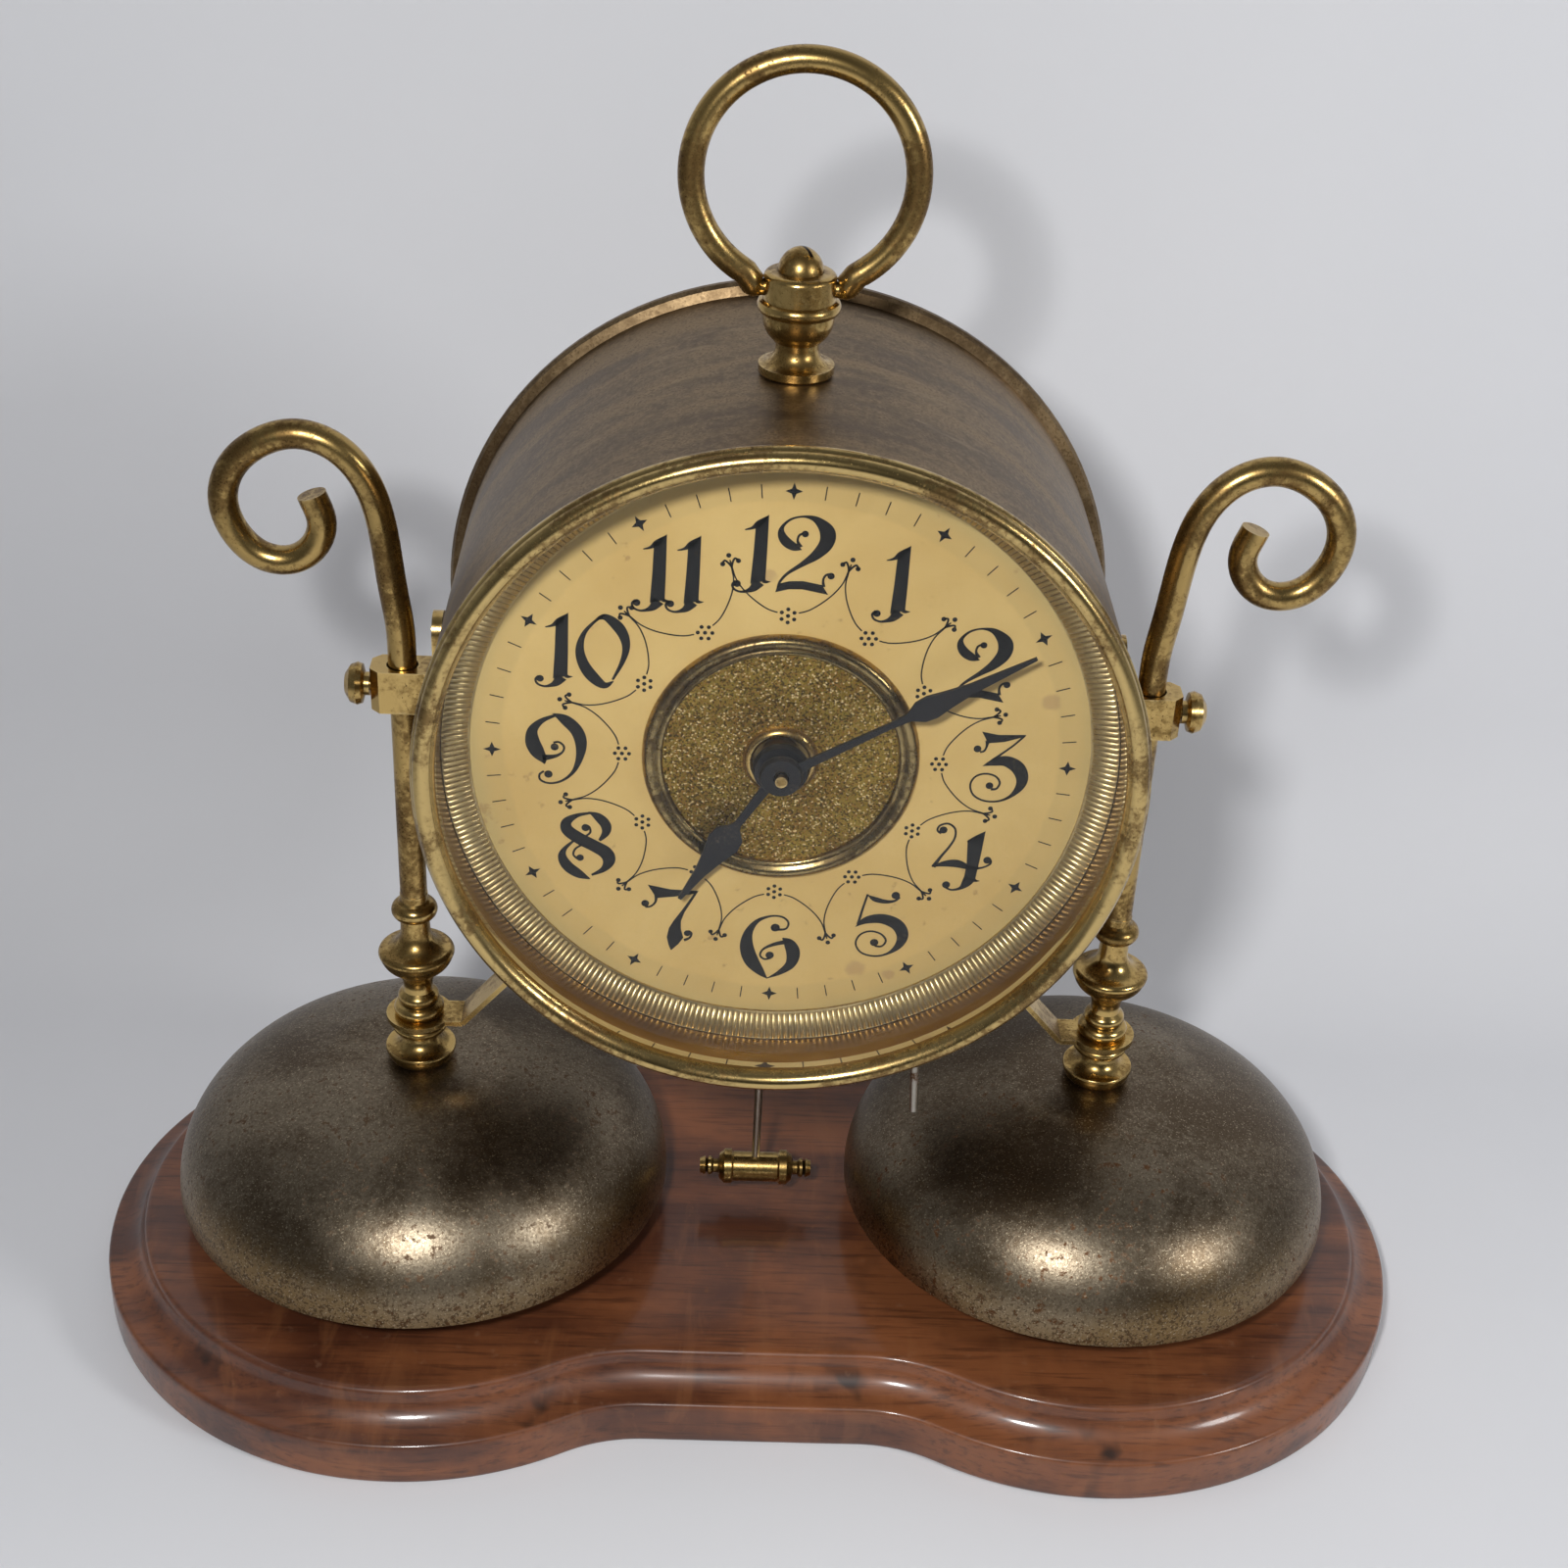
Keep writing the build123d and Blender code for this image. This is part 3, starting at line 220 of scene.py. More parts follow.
bores = [circle(x, pillar_bore, base_height) for x in (-post_x, post_x)]
hollows = [circle(x, nut_hollow, 0.0) for x in (-post_x, post_x)]
fill(base_corners, base_faces, [base_corners[-around:], *bores])
fill(base_corners, base_faces, [base_corners[:around], *hollows])
for x, bore, hollow in zip((-post_x, post_x), bores, hollows):
    hollow_roof = circle(x, nut_hollow, nut_hollow_depth)
    bore_foot = circle(x, pillar_bore, nut_hollow_depth)
    wall(base_corners, base_faces, hollow, hollow_roof)
    wall(base_corners, base_faces, bore_foot, bore)
    fill(base_corners, base_faces, [hollow_roof, bore_foot])

wood = Finish("varnished_wood", Coat_Roughness=0.14, IOR=1.45)
figure = wood.cloud(1.0, 5, wood.stretched(9, 55, 70), twist=0.6)
fibre = wood.cloud(1.0, 3, wood.stretched(70, 1100, 1100))
mottle = wood.cloud(34, 5, twist=0.4)
blotch = wood.rise(wood.cloud(1.0, 3, wood.stretched(60, 60, 25)), 0.60, 0.70)
wood_level = wood.node("ShaderNodeSeparateXYZ", None, {"Vector": wood.place}, out="Z")
side_band = 1 - wood.rise(wood_level, 0.0105, 0.0145)
wood_tone = wood.tint(wood.rise(figure + (mottle - 0.5) * 0.7, 0.32, 0.68),
                                (0.078, 0.023, 0.0095), (0.225, 0.074, 0.025))
wood_tone = wood.tint(wood.rise(fibre, 0.48, 0.70) * 0.55, wood_tone, (0.036, 0.011, 0.005))
ribbon_figure = wood.cloud(1.0, 4, wood.stretched(130, 28, 60), twist=0.8)
wood_tone = wood.tint(wood.rise(ribbon_figure, 0.52, 0.70) * 0.35, wood_tone, (0.25, 0.095, 0.034))
wood_tone = wood.tint(blotch * (0.2 + side_band * 0.7), wood_tone, (0.013, 0.006, 0.004))
scuff = wood.rise(wood.cloud(420, 5), 0.60, 0.74)
wood_tone = wood.tint(scuff * 0.22, wood_tone, (0.28, 0.14, 0.07))
wood.surface(
    Base_Color=wood_tone,
    Roughness=0.34 + mottle * 0.2 + scuff * 0.2,
    Coat_Weight=0.75 - scuff * 0.5 - mottle * 0.4,
    Normal=wood.relief(figure * 0.5 + fibre * 0.5, 0.00006, 0.6))
board = piece("base_board", base_corners, base_faces, wood, sharp=0.9)
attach(board, "clock")
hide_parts("wood_base")


# Bells: two bowls spun from thin bell metal, mouth down on the base. Their plating has gone dark
# and speckled, with a brassy tint and some rust towards the rim.
def aged_bell(name, rust):
    bell = Finish(name, Metallic=1.0)
    patches = bell.cloud(26, 6, twist=0.5)
    grain = bell.cloud(700, 5)
    speckle = bell.cloud(1900, 3)
    height = bell.node("ShaderNodeSeparateXYZ", None, {"Vector": bell.place}, out="Z")
    low = 1 - bell.rise(height + (patches - 0.5) * 0.022, 0.024, 0.038)
    tone = bell.tint(bell.rise(patches + (grain - 0.5) * 0.6, 0.36, 0.64),
                     (0.105, 0.076, 0.048), (0.25, 0.205, 0.145))
    tone = bell.tint(low * 0.7, tone, (0.28, 0.18, 0.075))
    tone = bell.tint(bell.rise(speckle + (grain - 0.5) * 0.8, 0.48, 0.62) * (0.45 + low * 0.3),
                     tone, (0.050, 0.029, 0.016))
    spots = bell.rise(grain, 0.56, 0.66) * bell.rise(patches, 0.44, 0.58)
    tone = bell.tint(spots * rust, tone, (0.14, 0.058, 0.022))
    shine = bell.rise(bell.cloud(2600, 2), 0.60, 0.68)
    tone = bell.tint(shine * 0.6, tone, (0.55, 0.46, 0.32))
    bell.surface(
        Base_Color=tone,
        Roughness=0.22 + patches * 0.16 + speckle * 0.14 + spots * 0.25,
        Normal=bell.relief(grain * 0.6 + speckle * 0.4, 0.00007, 0.7))
    return bell


give(aged_bell("left_bell_metal", 0.45), "left_bell")
give(aged_bell("right_bell_metal", 0.85), "right_bell")


# Turned brass: the nuts on the bells, the two posts with their clamps, thumb-screws and lugs, the
# hammer head, the knobs and the winding keys. Edges are rubbed bright. Hollows are darkened with
# painted shade from ambient occlusion, which also stands for old dark grime there.
def worn_brass(name, clean, dull, dark, roughness, hollow_shade_and_grime_strength=0.7, split=None):
    brass = Finish(name, Metallic=1.0)
    patches = brass.cloud(95, 5, twist=0.3)
    grain = brass.cloud(950, 4)
    speckle = brass.cloud(3000, 2)
    tarnish = brass.rise(patches + (grain - 0.5) * 0.55, 0.40, 0.64)
    # painted shade: darker where ambient occlusion finds the surface closed in, also standing for old grime
    # in the hollows
    hollow_shade_and_grime = 1 - brass.rise(brass.openness(0.0035), 0.35, 0.85)
    edge = 1 - brass.rise(brass.openness(0.0008, inside=True), 0.35, 0.75)
    tone = brass.tint(tarnish, clean, dull)
    # painted shade in the hollows, mixed into the colour together with the grime it stands for
    tone = brass.tint(hollow_shade_and_grime * hollow_shade_and_grime_strength, tone, dark)
    pits = brass.rise(speckle + (patches - 0.5) * 0.5, 0.60, 0.72)
    tone = brass.tint(pits * 0.65, tone, dark)
    tone = brass.tint(edge * 0.4, tone, (0.86, 0.68, 0.34))
    if split:
        across, offset, lowest = split
        side = brass.node("ShaderNodeVectorMath", {"operation": "DOT_PRODUCT"},
                          {0: brass.place, 1: across}, out="Value") - offset
        level = brass.node("ShaderNodeSeparateXYZ", None, {"Vector": brass.place}, out="Z")
        off_line = side.joined("ABSOLUTE", side) + (patches - 0.5) * 0.0006
        slit = (1 - brass.rise(off_line, 0.00022, 0.00040)) * brass.rise(level, lowest, lowest + 0.0004)
        tone = brass.tint(slit, tone, (0.012, 0.007, 0.004))
    brass.surface(
        Base_Color=tone,
        Roughness=roughness + tarnish * 0.13 + pits * 0.25 + hollow_shade_and_grime * 0.15,
        Normal=brass.relief(grain * 0.5 + speckle * 0.5, 0.00003, 0.5))
    return brass


turned_look = ((0.56, 0.385, 0.14), (0.27, 0.17, 0.055), (0.030, 0.017, 0.007), 0.20, 0.95)
turned_brass = worn_brass("turned_brass", *turned_look)
give(turned_brass, "bell_nuts", "left_post", "right_post", "left_clamp_block", "right_clamp_block",
     "left_thumb_screw", "right_thumb_screw", "left_strap", "right_strap", "strap_screws",
     "hammer_head", "hand_set_knob", "alarm_set_knob", "time_key", "alarm_key")

# Scrolls: round brass rod bent to a hook with a curl at its end, browner than the turned pieces,
# since nobody polishes between the curls.
bent_brass = worn_brass("bent_brass", (0.47, 0.32, 0.115), (0.19, 0.115, 0.04), (0.035, 0.019, 0.008), 0.24)
give(bent_brass, "left_scroll", "right_scroll")

# Finial: a turned spindle screwed to the top of the drum. Its round cap has one dark split across
# it, a little off its middle.
finial_y = -11.9
split_across = (0.85, 0.53, 0.0)
split_offset = split_across[1] * finial_y / 1000 + 0.0004
split_foot = 0.2148
cap_brass = worn_brass("cap_brass", *turned_look, (split_across, split_offset, split_foot))
give(cap_brass, "handle_finial")

# Carrying ring: round brass wire bent to a ring, its ends drawn down to the pins that turn in
# the finial's cross hole.
ring_z = 226.8
ring_radius = 17.2
wire_radius = 2.04
wire_sides = 28
pivot_z = 209.6
pin_radius = 1.3
wire_path = [(3.0, pivot_z, pin_radius), (5.9, pivot_z, pin_radius), (6.35, pivot_z + 0.02, 1.45),
             (6.7, pivot_z + 0.12, 1.85), (7.2, pivot_z + 0.42, 2.05)]
for degrees in range(30, 184, 3):
    angle = math.radians(degrees)
    wire_path.append((ring_radius * math.sin(angle), ring_z - ring_radius * math.cos(angle), wire_radius))
wire_path += [(-x, z, r) for x, z, r in reversed(wire_path[:-2])]
ring_corners = []
for index, (x, z, radius) in enumerate(wire_path):
    back = wire_path[max(index - 1, 0)]
    ahead = wire_path[min(index + 1, len(wire_path) - 1)]
    along = Vector((ahead[0] - back[0], 0, ahead[1] - back[1])).normalized()
    outward = Vector((0, 1, 0)).cross(along)
    for i in range(wire_sides):
        angle = i * math.tau / wire_sides
        spot = Vector((x, finial_y, z)) + radius * (math.cos(angle) * outward
                                                    + math.sin(angle) * Vector((0, 1, 0)))
        ring_corners.append(tuple(spot))
ring_faces = []
for row in range(0, len(ring_corners) - wire_sides, wire_sides):
    ring_faces += [(row + i, row + (i + 1) % wire_sides,
                    row + wire_sides + (i + 1) % wire_sides, row + wire_sides + i) for i in range(wire_sides)]
ring_faces += [tuple(range(wire_sides)),
               tuple(range(len(ring_corners) - 1, len(ring_corners) - wire_sides - 1, -1))]
carrying_ring = piece("carrying_ring", ring_corners, ring_faces, bent_brass, sharp=1.0)
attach(carrying_ring, "handle_ring")
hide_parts("handle_ring")

# Steel: the bell pillars and their nuts, the wires of the hammer and the silencing lever, arbors,
# springs and studs, all dull and a little rusty.
dull_steel = Finish("dull_steel", Metallic=1.0)
steel_cloud = dull_steel.cloud(220, 5)
steel_fine = dull_steel.cloud(1700, 3)
steel_rust = dull_steel.rise(steel_cloud + (steel_fine - 0.5) * 0.4, 0.56, 0.70)
dull_steel.surface(
    Base_Color=dull_steel.tint(
        steel_rust, dull_steel.tint(steel_fine, (0.33, 0.30, 0.25), (0.50, 0.47, 0.41)), (0.17, 0.085, 0.04)),
    Roughness=0.30 + steel_rust * 0.35 + steel_fine * 0.1,
    Normal=dull_steel.relief(steel_fine, 0.00003, 0.5))
give(dull_steel, "base_nuts", "bell_pillars", "finial_nut", "hammer_arbor", "hammer_rod",
     "silencing_lever", "time_mainspring", "alarm_mainspring", "pallet_lever", "hairspring",
     "motion_stud", "dial_feet", "dial_plate")

# Movement: brass plates, wheels and barrels behind the dial, closed in by the drum, dry and only
# a little tarnished.
train_brass = worn_brass("train_brass", (0.62, 0.45, 0.17), (0.44, 0.30, 0.11), (0.07, 0.045, 0.02), 0.28)
give(train_brass, "movement_front_plate", "movement_back_plate", "plate_pillars", "time_barrel",
     "alarm_barrel", "centre_wheel", "third_wheel", "escape_wheel", "balance_wheel",
     "alarm_escape_wheel", "cannon_pinion", "minute_wheel", "hour_wheel")

# Drum: a rolled brass shell, soldered along its back, with a rounded rim round the rear cover. Its
# brass has gone an even dull brown, smeared round the drum and speckled.
drum_brass = Finish("drum_brass", Metallic=1.0)
smear = drum_brass.cloud(1.0, 5, drum_brass.stretched(28, 90, 28), twist=0.5)
drum_grain = drum_brass.cloud(620, 5)
drum_speckle = drum_brass.cloud(2200, 3)
drum_edge = 1 - drum_brass.rise(drum_brass.openness(0.0003, inside=True), 0.35, 0.8)
drum_tone = drum_brass.tint(drum_brass.rise(smear + (drum_grain - 0.5) * 0.6, 0.34, 0.66),
                            (0.120, 0.078, 0.040), (0.270, 0.188, 0.100))
drum_tone = drum_brass.tint(drum_brass.rise(drum_speckle + (drum_grain - 0.5) * 0.6, 0.52, 0.66) * 0.5,
                            drum_tone, (0.055, 0.030, 0.016))
rubbed = drum_brass.rise(drum_brass.cloud(1.0, 4, drum_brass.stretched(60, 260, 60)), 0.60, 0.74)
drum_tone = drum_brass.tint(rubbed * 0.45, drum_tone, (0.34, 0.25, 0.14))
drum_tone = drum_brass.tint(drum_edge * 0.75, drum_tone, (0.66, 0.48, 0.21))
drum_brass.surface(
    Base_Color=drum_tone,
    Roughness=0.27 + smear * 0.22 + drum_speckle * 0.10,
    Normal=drum_brass.relief(drum_grain * 0.5 + drum_speckle * 0.5, 0.00005, 0.6))
give(drum_brass, "drum_shell", "rear_cover")

# Front bezel: a spun brass ring pushed over the front of the drum. Its roll is bright with rubbing
# and its inner wall, which the dial shows in, is smooth and browner.
drum_z = 137.9


def spun(profile, count=256):
    corners = [(r * math.sin(i * math.tau / count), y, drum_z + r * math.cos(i * math.tau / count))
               for r, y in profile for i in range(count)]
    faces = []
    for ring in range(len(profile)):
        after = (ring + 1) % len(profile)
        faces += [(ring * count + i, ring * count + (i + 1) % count,
                   after * count + (i + 1) % count, after * count + i) for i in range(count)]
    return corners, faces


bezel_brass = worn_brass("bezel_brass", (0.58, 0.42, 0.17), (0.24, 0.155, 0.06),
                         (0.045, 0.024, 0.010), 0.18, 0.5)
wall_brass = Finish("wall_brass", Metallic=1.0)
wall_smear = wall_brass.cloud(1.0, 4, wall_brass.stretched(40, 200, 40))
wall_speckle = wall_brass.cloud(1500, 3)
wall_brass.surface(
    Base_Color=wall_brass.tint(wall_brass.rise(wall_smear, 0.3, 0.7),
                               (0.25, 0.155, 0.066), (0.40, 0.27, 0.12)),
    Roughness=0.20 + wall_smear * 0.12,
    Normal=wall_brass.relief(wall_speckle, 0.00002, 0.4))
bezel_profile = [(55.0, -33.6), (55.0, -36.0), (55.0, -39.0), (55.0, -42.0), (55.0, -44.3), (55.2, -45.0),
                 (55.6, -45.65), (56.15, -46.12), (56.8, -46.36), (57.4, -46.3), (57.9, -46.0),
                 (58.25, -45.6), (58.42, -45.1), (58.4, -44.8), (58.62, -44.62), (58.85, -44.3),
                 (58.85, -43.5), (58.72, -43.12), (58.5, -43.0), (55.6, -43.0), (55.6, -33.6)]
bezel = piece("bezel_roll", *spun(bezel_profile), bezel_brass, wall_brass, sharp=0.8)
wall_radius = 0.05503
wall_front = -0.0445
for face in bezel.data.polygons:
    from_axis = math.hypot(face.center.x, face.center.z - drum_z / 1000)
    if from_axis < wall_radius and face.center.y > wall_front:
        face.material_index = 1
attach(bezel, "clock")
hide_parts("front_bezel")

# Glass: a thin flat pane held in the bezel, clear, with a little dust. Only its reflections and
# the dust show, so its alpha is low where the glass is seen square on.
pane = Finish("clear_pane", Base_Color=(0.93, 0.96, 0.95, 1.0), Metallic=1.0, Roughness=0.03)
gleam = pane.node("ShaderNodeFresnel", None, {"IOR": 1.3})
dust = pane.rise(pane.cloud(900, 3), 0.62, 0.8)
pane.surface(Alpha=gleam * 0.7 + dust * 0.02)
give(pane, "dial_glass")


# Milled ring: a thin brass cone between glass and dial, rolled with about 340 fine ribs that
# point at the dial's centre.
def pieces_round():
    tree = bpy.data.node_groups.new("pieces_round_the_dial", "GeometryNodeTree")
    for label, kind in (("Shape", "Geometry"), ("Count", "Int"),
                        ("Centre", "Vector"), ("Finish", "Material")):
        tree.interface.new_socket(label, in_out="INPUT", socket_type="NodeSocket" + kind)
    tree.interface.new_socket("Pieces", in_out="OUTPUT", socket_type="NodeSocketGeometry")
    made = {}
    for label, kind in (("given", "NodeGroupInput"), ("points", "GeometryNodePoints"),
                        ("index", "GeometryNodeInputIndex"), ("share", "ShaderNodeMath"),
                        ("turn", "ShaderNodeMath"), ("angles", "ShaderNodeCombineXYZ"),
                        ("rotation", "FunctionNodeEulerToRotation"),
                        ("placed", "GeometryNodeInstanceOnPoints"),
                        ("real", "GeometryNodeRealizeInstances"), ("coat", "GeometryNodeSetMaterial"),
                        ("result", "NodeGroupOutput")):
        made[label] = tree.nodes.new(kind)
    made["share"].operation = "DIVIDE"
    made["turn"].operation = "MULTIPLY"
    made["turn"].inputs[1].default_value = math.tau
    for start, out, end, into in (
            ("given", "Count", "points", "Count"), ("given", "Centre", "points", "Position"),
            ("index", 0, "share", 0), ("given", "Count", "share", 1), ("share", 0, "turn", 0),
            ("turn", 0, "angles", "Y"), ("angles", 0, "rotation", 0), ("points", 0, "placed", "Points"),
            ("given", "Shape", "placed", "Instance"), ("rotation", 0, "placed", "Rotation"),
            ("placed", 0, "real", 0), ("real", 0, "coat", 0), ("given", "Finish", "coat", "Material"),
            ("coat", 0, "result", 0)):
        tree.links.new(made[start].outputs[out], made[end].inputs[into])
    return tree


round_tree = pieces_round()


def repeated(name, shape, count, finish):
    grown = shape.modifiers.new("repeat", "NODES")
    grown.node_group = round_tree
    ids = {item.name: item.identifier for item in round_tree.interface.items_tree if item.in_out == "INPUT"}
    grown[ids["Count"]] = count
    grown[ids["Centre"]] = (0.0, 0.0, drum_z / 1000)
    grown[ids["Finish"]] = finish.material
    ready = shape.evaluated_get(bpy.context.evaluated_depsgraph_get())
    mesh = bpy.data.meshes.new_from_object(ready)
    shape.modifiers.remove(grown)
    bpy.data.objects.remove(shape)
    made = bpy.data.objects.new(name, mesh)
    bpy.context.scene.collection.objects.link(made)
    return made


rib_count = 340
rib_half_width = 0.43
rib_height = 0.42
rib_end_height = 0.12
rib_sink = 0.25
rib_points = 7
rib_rows = ((50.7, -33.2, rib_end_height), (51.0, -33.62, rib_height),
            (54.5, -35.35, rib_height), (54.9, -35.5, rib_end_height))
rib_corners = []
for radius, front, height in rib_rows:
    spread = rib_half_width * radius / rib_rows[-1][0]
    for point in range(rib_points):
        angle = math.pi * point / (rib_points - 1)
        rib_corners.append((-spread * math.cos(angle), front + rib_sink - height * math.sin(angle), radius))
last_row = rib_points * (len(rib_rows) - 1)
rib_faces = [(row + i, row + i + 1, row + i + 1 + rib_points, row + i + rib_points)
             for row in range(0, last_row, rib_points) for i in range(rib_points - 1)]
rib_back = [*range(0, last_row + 1, rib_points), *range(last_row + rib_points - 1, 0, -rib_points)]
rib_faces += [tuple(range(rib_points)), tuple(range(last_row + rib_points - 1, last_row - 1, -1)),
              tuple(rib_back)]
rib_brass = worn_brass("rib_brass", (0.42, 0.33, 0.17), (0.25, 0.18, 0.085), (0.035, 0.022, 0.010), 0.28, 0.9)
rib = piece("rib", rib_corners, rib_faces, rib_brass, sharp=1.2)
ribs = repeated("milled_ribs", rib, rib_count, rib_brass)
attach(ribs, "clock")
give(rib_brass, "milled_ring")

# Dial: a printed card on a steel plate. The paper has yellowed, more so at its rim, with foxing
# spots and a few small water stains.
dial_y = -32.8
dial_card = Finish("dial_card", Specular_IOR_Level=0.35)
card_cloud = dial_card.cloud(30, 5, twist=0.3)
card_fine = dial_card.cloud(420, 5)
card_fibre = dial_card.cloud(1800, 3)
off_axis = dial_card.node("ShaderNodeMapping", None, {
    "Vector": dial_card.place, "Location": (0, 0, -drum_z / 1000), "Scale": (1, 0, 1)})
from_centre = dial_card.node("ShaderNodeVectorMath", {"operation": "LENGTH"}, {0: off_axis}, out="Value")
card_tone = dial_card.tint(dial_card.rise(card_cloud, 0.3, 0.7), (0.66, 0.47, 0.175), (0.57, 0.385, 0.13))
card_tone = dial_card.tint(dial_card.rise(from_centre + (card_cloud - 0.5) * 0.003, 0.0448, 0.0458) * 0.25,
                           card_tone, (0.40, 0.30, 0.12))
card_tone = dial_card.tint(dial_card.rise(from_centre + (card_cloud - 0.5) * 0.006, 0.0475, 0.0515) * 0.55,
                           card_tone, (0.43, 0.35, 0.15))
foxing = dial_card.rise(card_fine + (card_cloud - 0.5) * 0.5, 0.66, 0.76)
card_tone = dial_card.tint(foxing * 0.45, card_tone, (0.27, 0.15, 0.055))
card_tone = dial_card.tint(dial_card.rise(card_fibre, 0.4, 0.8) * 0.10, card_tone, (0.30, 0.20, 0.08))
stains = ((0.0148, 0.0968, 0.0022), (0.0205, 0.0958, 0.0014),
          (-0.0035, 0.1705, 0.0015), (0.0430, 0.1500, 0.0020))
for stain_x, stain_z, stain_radius in stains:
    spot = dial_card.node("ShaderNodeVectorMath", {"operation": "DISTANCE"},
                          {0: dial_card.place, 1: (stain_x, dial_y / 1000, stain_z)}, out="Value")
    wet = 1 - dial_card.rise(spot + (card_fine - 0.5) * 0.0022, stain_radius * 0.55, stain_radius)
    card_tone = dial_card.tint(wet * 0.45, card_tone, (0.34, 0.20, 0.10))
dial_card.surface(Base_Color=card_tone, Roughness=0.5 + card_cloud * 0.2,
                  Normal=dial_card.relief(card_fibre + card_cloud * 2, 0.00004, 0.5))
give(dial_card, "dial")

# Print: black ink in a thin film on the card. Stars mark the hours and short strokes the minutes,
# and a garland of thin curves with dots runs inside the numbers.
printers_ink = Finish("printers_ink", Specular_IOR_Level=0.2)
ink_wear = printers_ink.rise(
    printers_ink.cloud(1400, 4) + (printers_ink.cloud(90, 3) - 0.5) * 0.5, 0.60, 0.72)
printers_ink.surface(Base_Color=printers_ink.tint(ink_wear * 0.5, (0.008, 0.008, 0.009), (0.10, 0.075, 0.04)),
                     Roughness=0.5 + ink_wear * 0.3)
ink_front = dial_y - 0.03
ink_back = dial_y + 0.02
hours = 12


def printed(name, ribbons, lift=0.0):
    # each ribbon is a row of left and right edge points, made a thin closed film
    corners = []
    faces = []
    for ribbon in ribbons:
        first = len(corners)
        for (left_x, left_z), (right_x, right_z) in ribbon:
            corners += [(left_x, ink_front, lift + left_z), (right_x, ink_front, lift + right_z),
                        (right_x, ink_back, lift + right_z), (left_x, ink_back, lift + left_z)]
        for row in range(len(ribbon) - 1):
            near = first + 4 * row
            faces += [(near + i, near + (i + 1) % 4, near + 4 + (i + 1) % 4, near + 4 + i) for i in range(4)]
        last = first + 4 * (len(ribbon) - 1)
        faces += [(first, first + 3, first + 2, first + 1), (last, last + 1, last + 2, last + 3)]
    return piece(name, corners, faces, printers_ink, sharp=0.5)


def dot(x, z, radius, count=10):
    return [((x - radius * math.sin(math.pi * i / count), z + radius * math.cos(math.pi * i / count)),
             (x + radius * math.sin(math.pi * i / count), z + radius * math.cos(math.pi * i / count)))
            for i in range(count + 1)]


def pen(points, steps=5):
    # a smooth stroke through (x, z, width) points
    line = []
    for i in range(len(points) - 1):
        a, b, c, d = (Vector(points[max(0, min(len(points) - 1, i + k))]) for k in (-1, 0, 1, 2))
        for step in range(steps + (i == len(points) - 2)):
            t = step / steps
            line.append(0.5 * (2 * b + (c - a) * t + (2 * a - 5 * b + 4 * c - d) * t ** 2
                               + (3 * b - a - 3 * c + d) * t ** 3))
    ribbon = []
    for i, point in enumerate(line):
        ahead = line[min(i + 1, len(line) - 1)] - line[max(i - 1, 0)]
        across = Vector((-ahead.y, ahead.x)).normalized() * max(point.z, 0.0004) / 2
        ribbon.append(((point.x + across.x, point.y + across.y), (point.x - across.x, point.y - across.y)))
    return ribbon


def polar(radius, degrees):
    return (radius * math.sin(math.radians(degrees)), radius * math.cos(math.radians(degrees)))


star_radius, star_reach, star_arm, star_notch = 47.0, 1.45, 1.35, (0.36, 0.42)
star = [((0.0, star_radius + star_reach), (0.0, star_radius + star_reach)),
        ((-star_notch[0], star_radius + star_notch[1]), (star_notch[0], star_radius + star_notch[1])),
        ((-star_arm, star_radius), (star_arm, star_radius)),
        ((-star_notch[0], star_radius - star_notch[1]), (star_notch[0], star_radius - star_notch[1])),
        ((0.0, star_radius - star_reach), (0.0, star_radius - star_reach))]
stroke_ends = (48.2, 45.9)
stroke_half_angle = 0.11
ticks = [[(polar(radius, a - stroke_half_angle), polar(radius, a + stroke_half_angle))
          for radius in stroke_ends] for a in (6, 12, 18, 24)]
garland_line = 0.23
garland_middle = 15.0
flower_radius, flower_ring, petals = 25.9, 1.15, 6
garland = []
for side in (-1, 1):
    swag = [(36.4, 15.0), (34.8, 14.9), (32.9, 14.6), (30.8, 13.1), (28.8, 10.4), (27.2, 6.9), (26.5, 3.6)]
    garland.append(pen([(*polar(radius, side * degrees), garland_line) for radius, degrees in swag]))
    leaf = [polar(radius, garland_middle + side * degrees)
            for radius, degrees in ((35.2, 0.0), (36.0, 0.6), (36.5, 1.3), (36.1, 2.0))]
    garland.append(pen([(*point, 0.34) for point in leaf]))
garland += [dot(*polar(radius, garland_middle + degrees), 0.40)
            for radius, degrees in ((37.2, 0.0), (36.0, -2.0), (36.0, 2.0))]
garland.append(dot(0, flower_radius, 0.34))
for i in range(petals):
    petal_x, petal_z = polar(flower_ring, 360 / petals * i)
    garland.append(dot(petal_x, flower_radius + petal_z, 0.33))
for name, ribbons in (("hour_stars", [star]), ("minute_strokes", ticks), ("garland", garland)):
    marks = repeated(name, printed(name + "_shape", ribbons), hours, printers_ink)
    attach(marks, "clock")

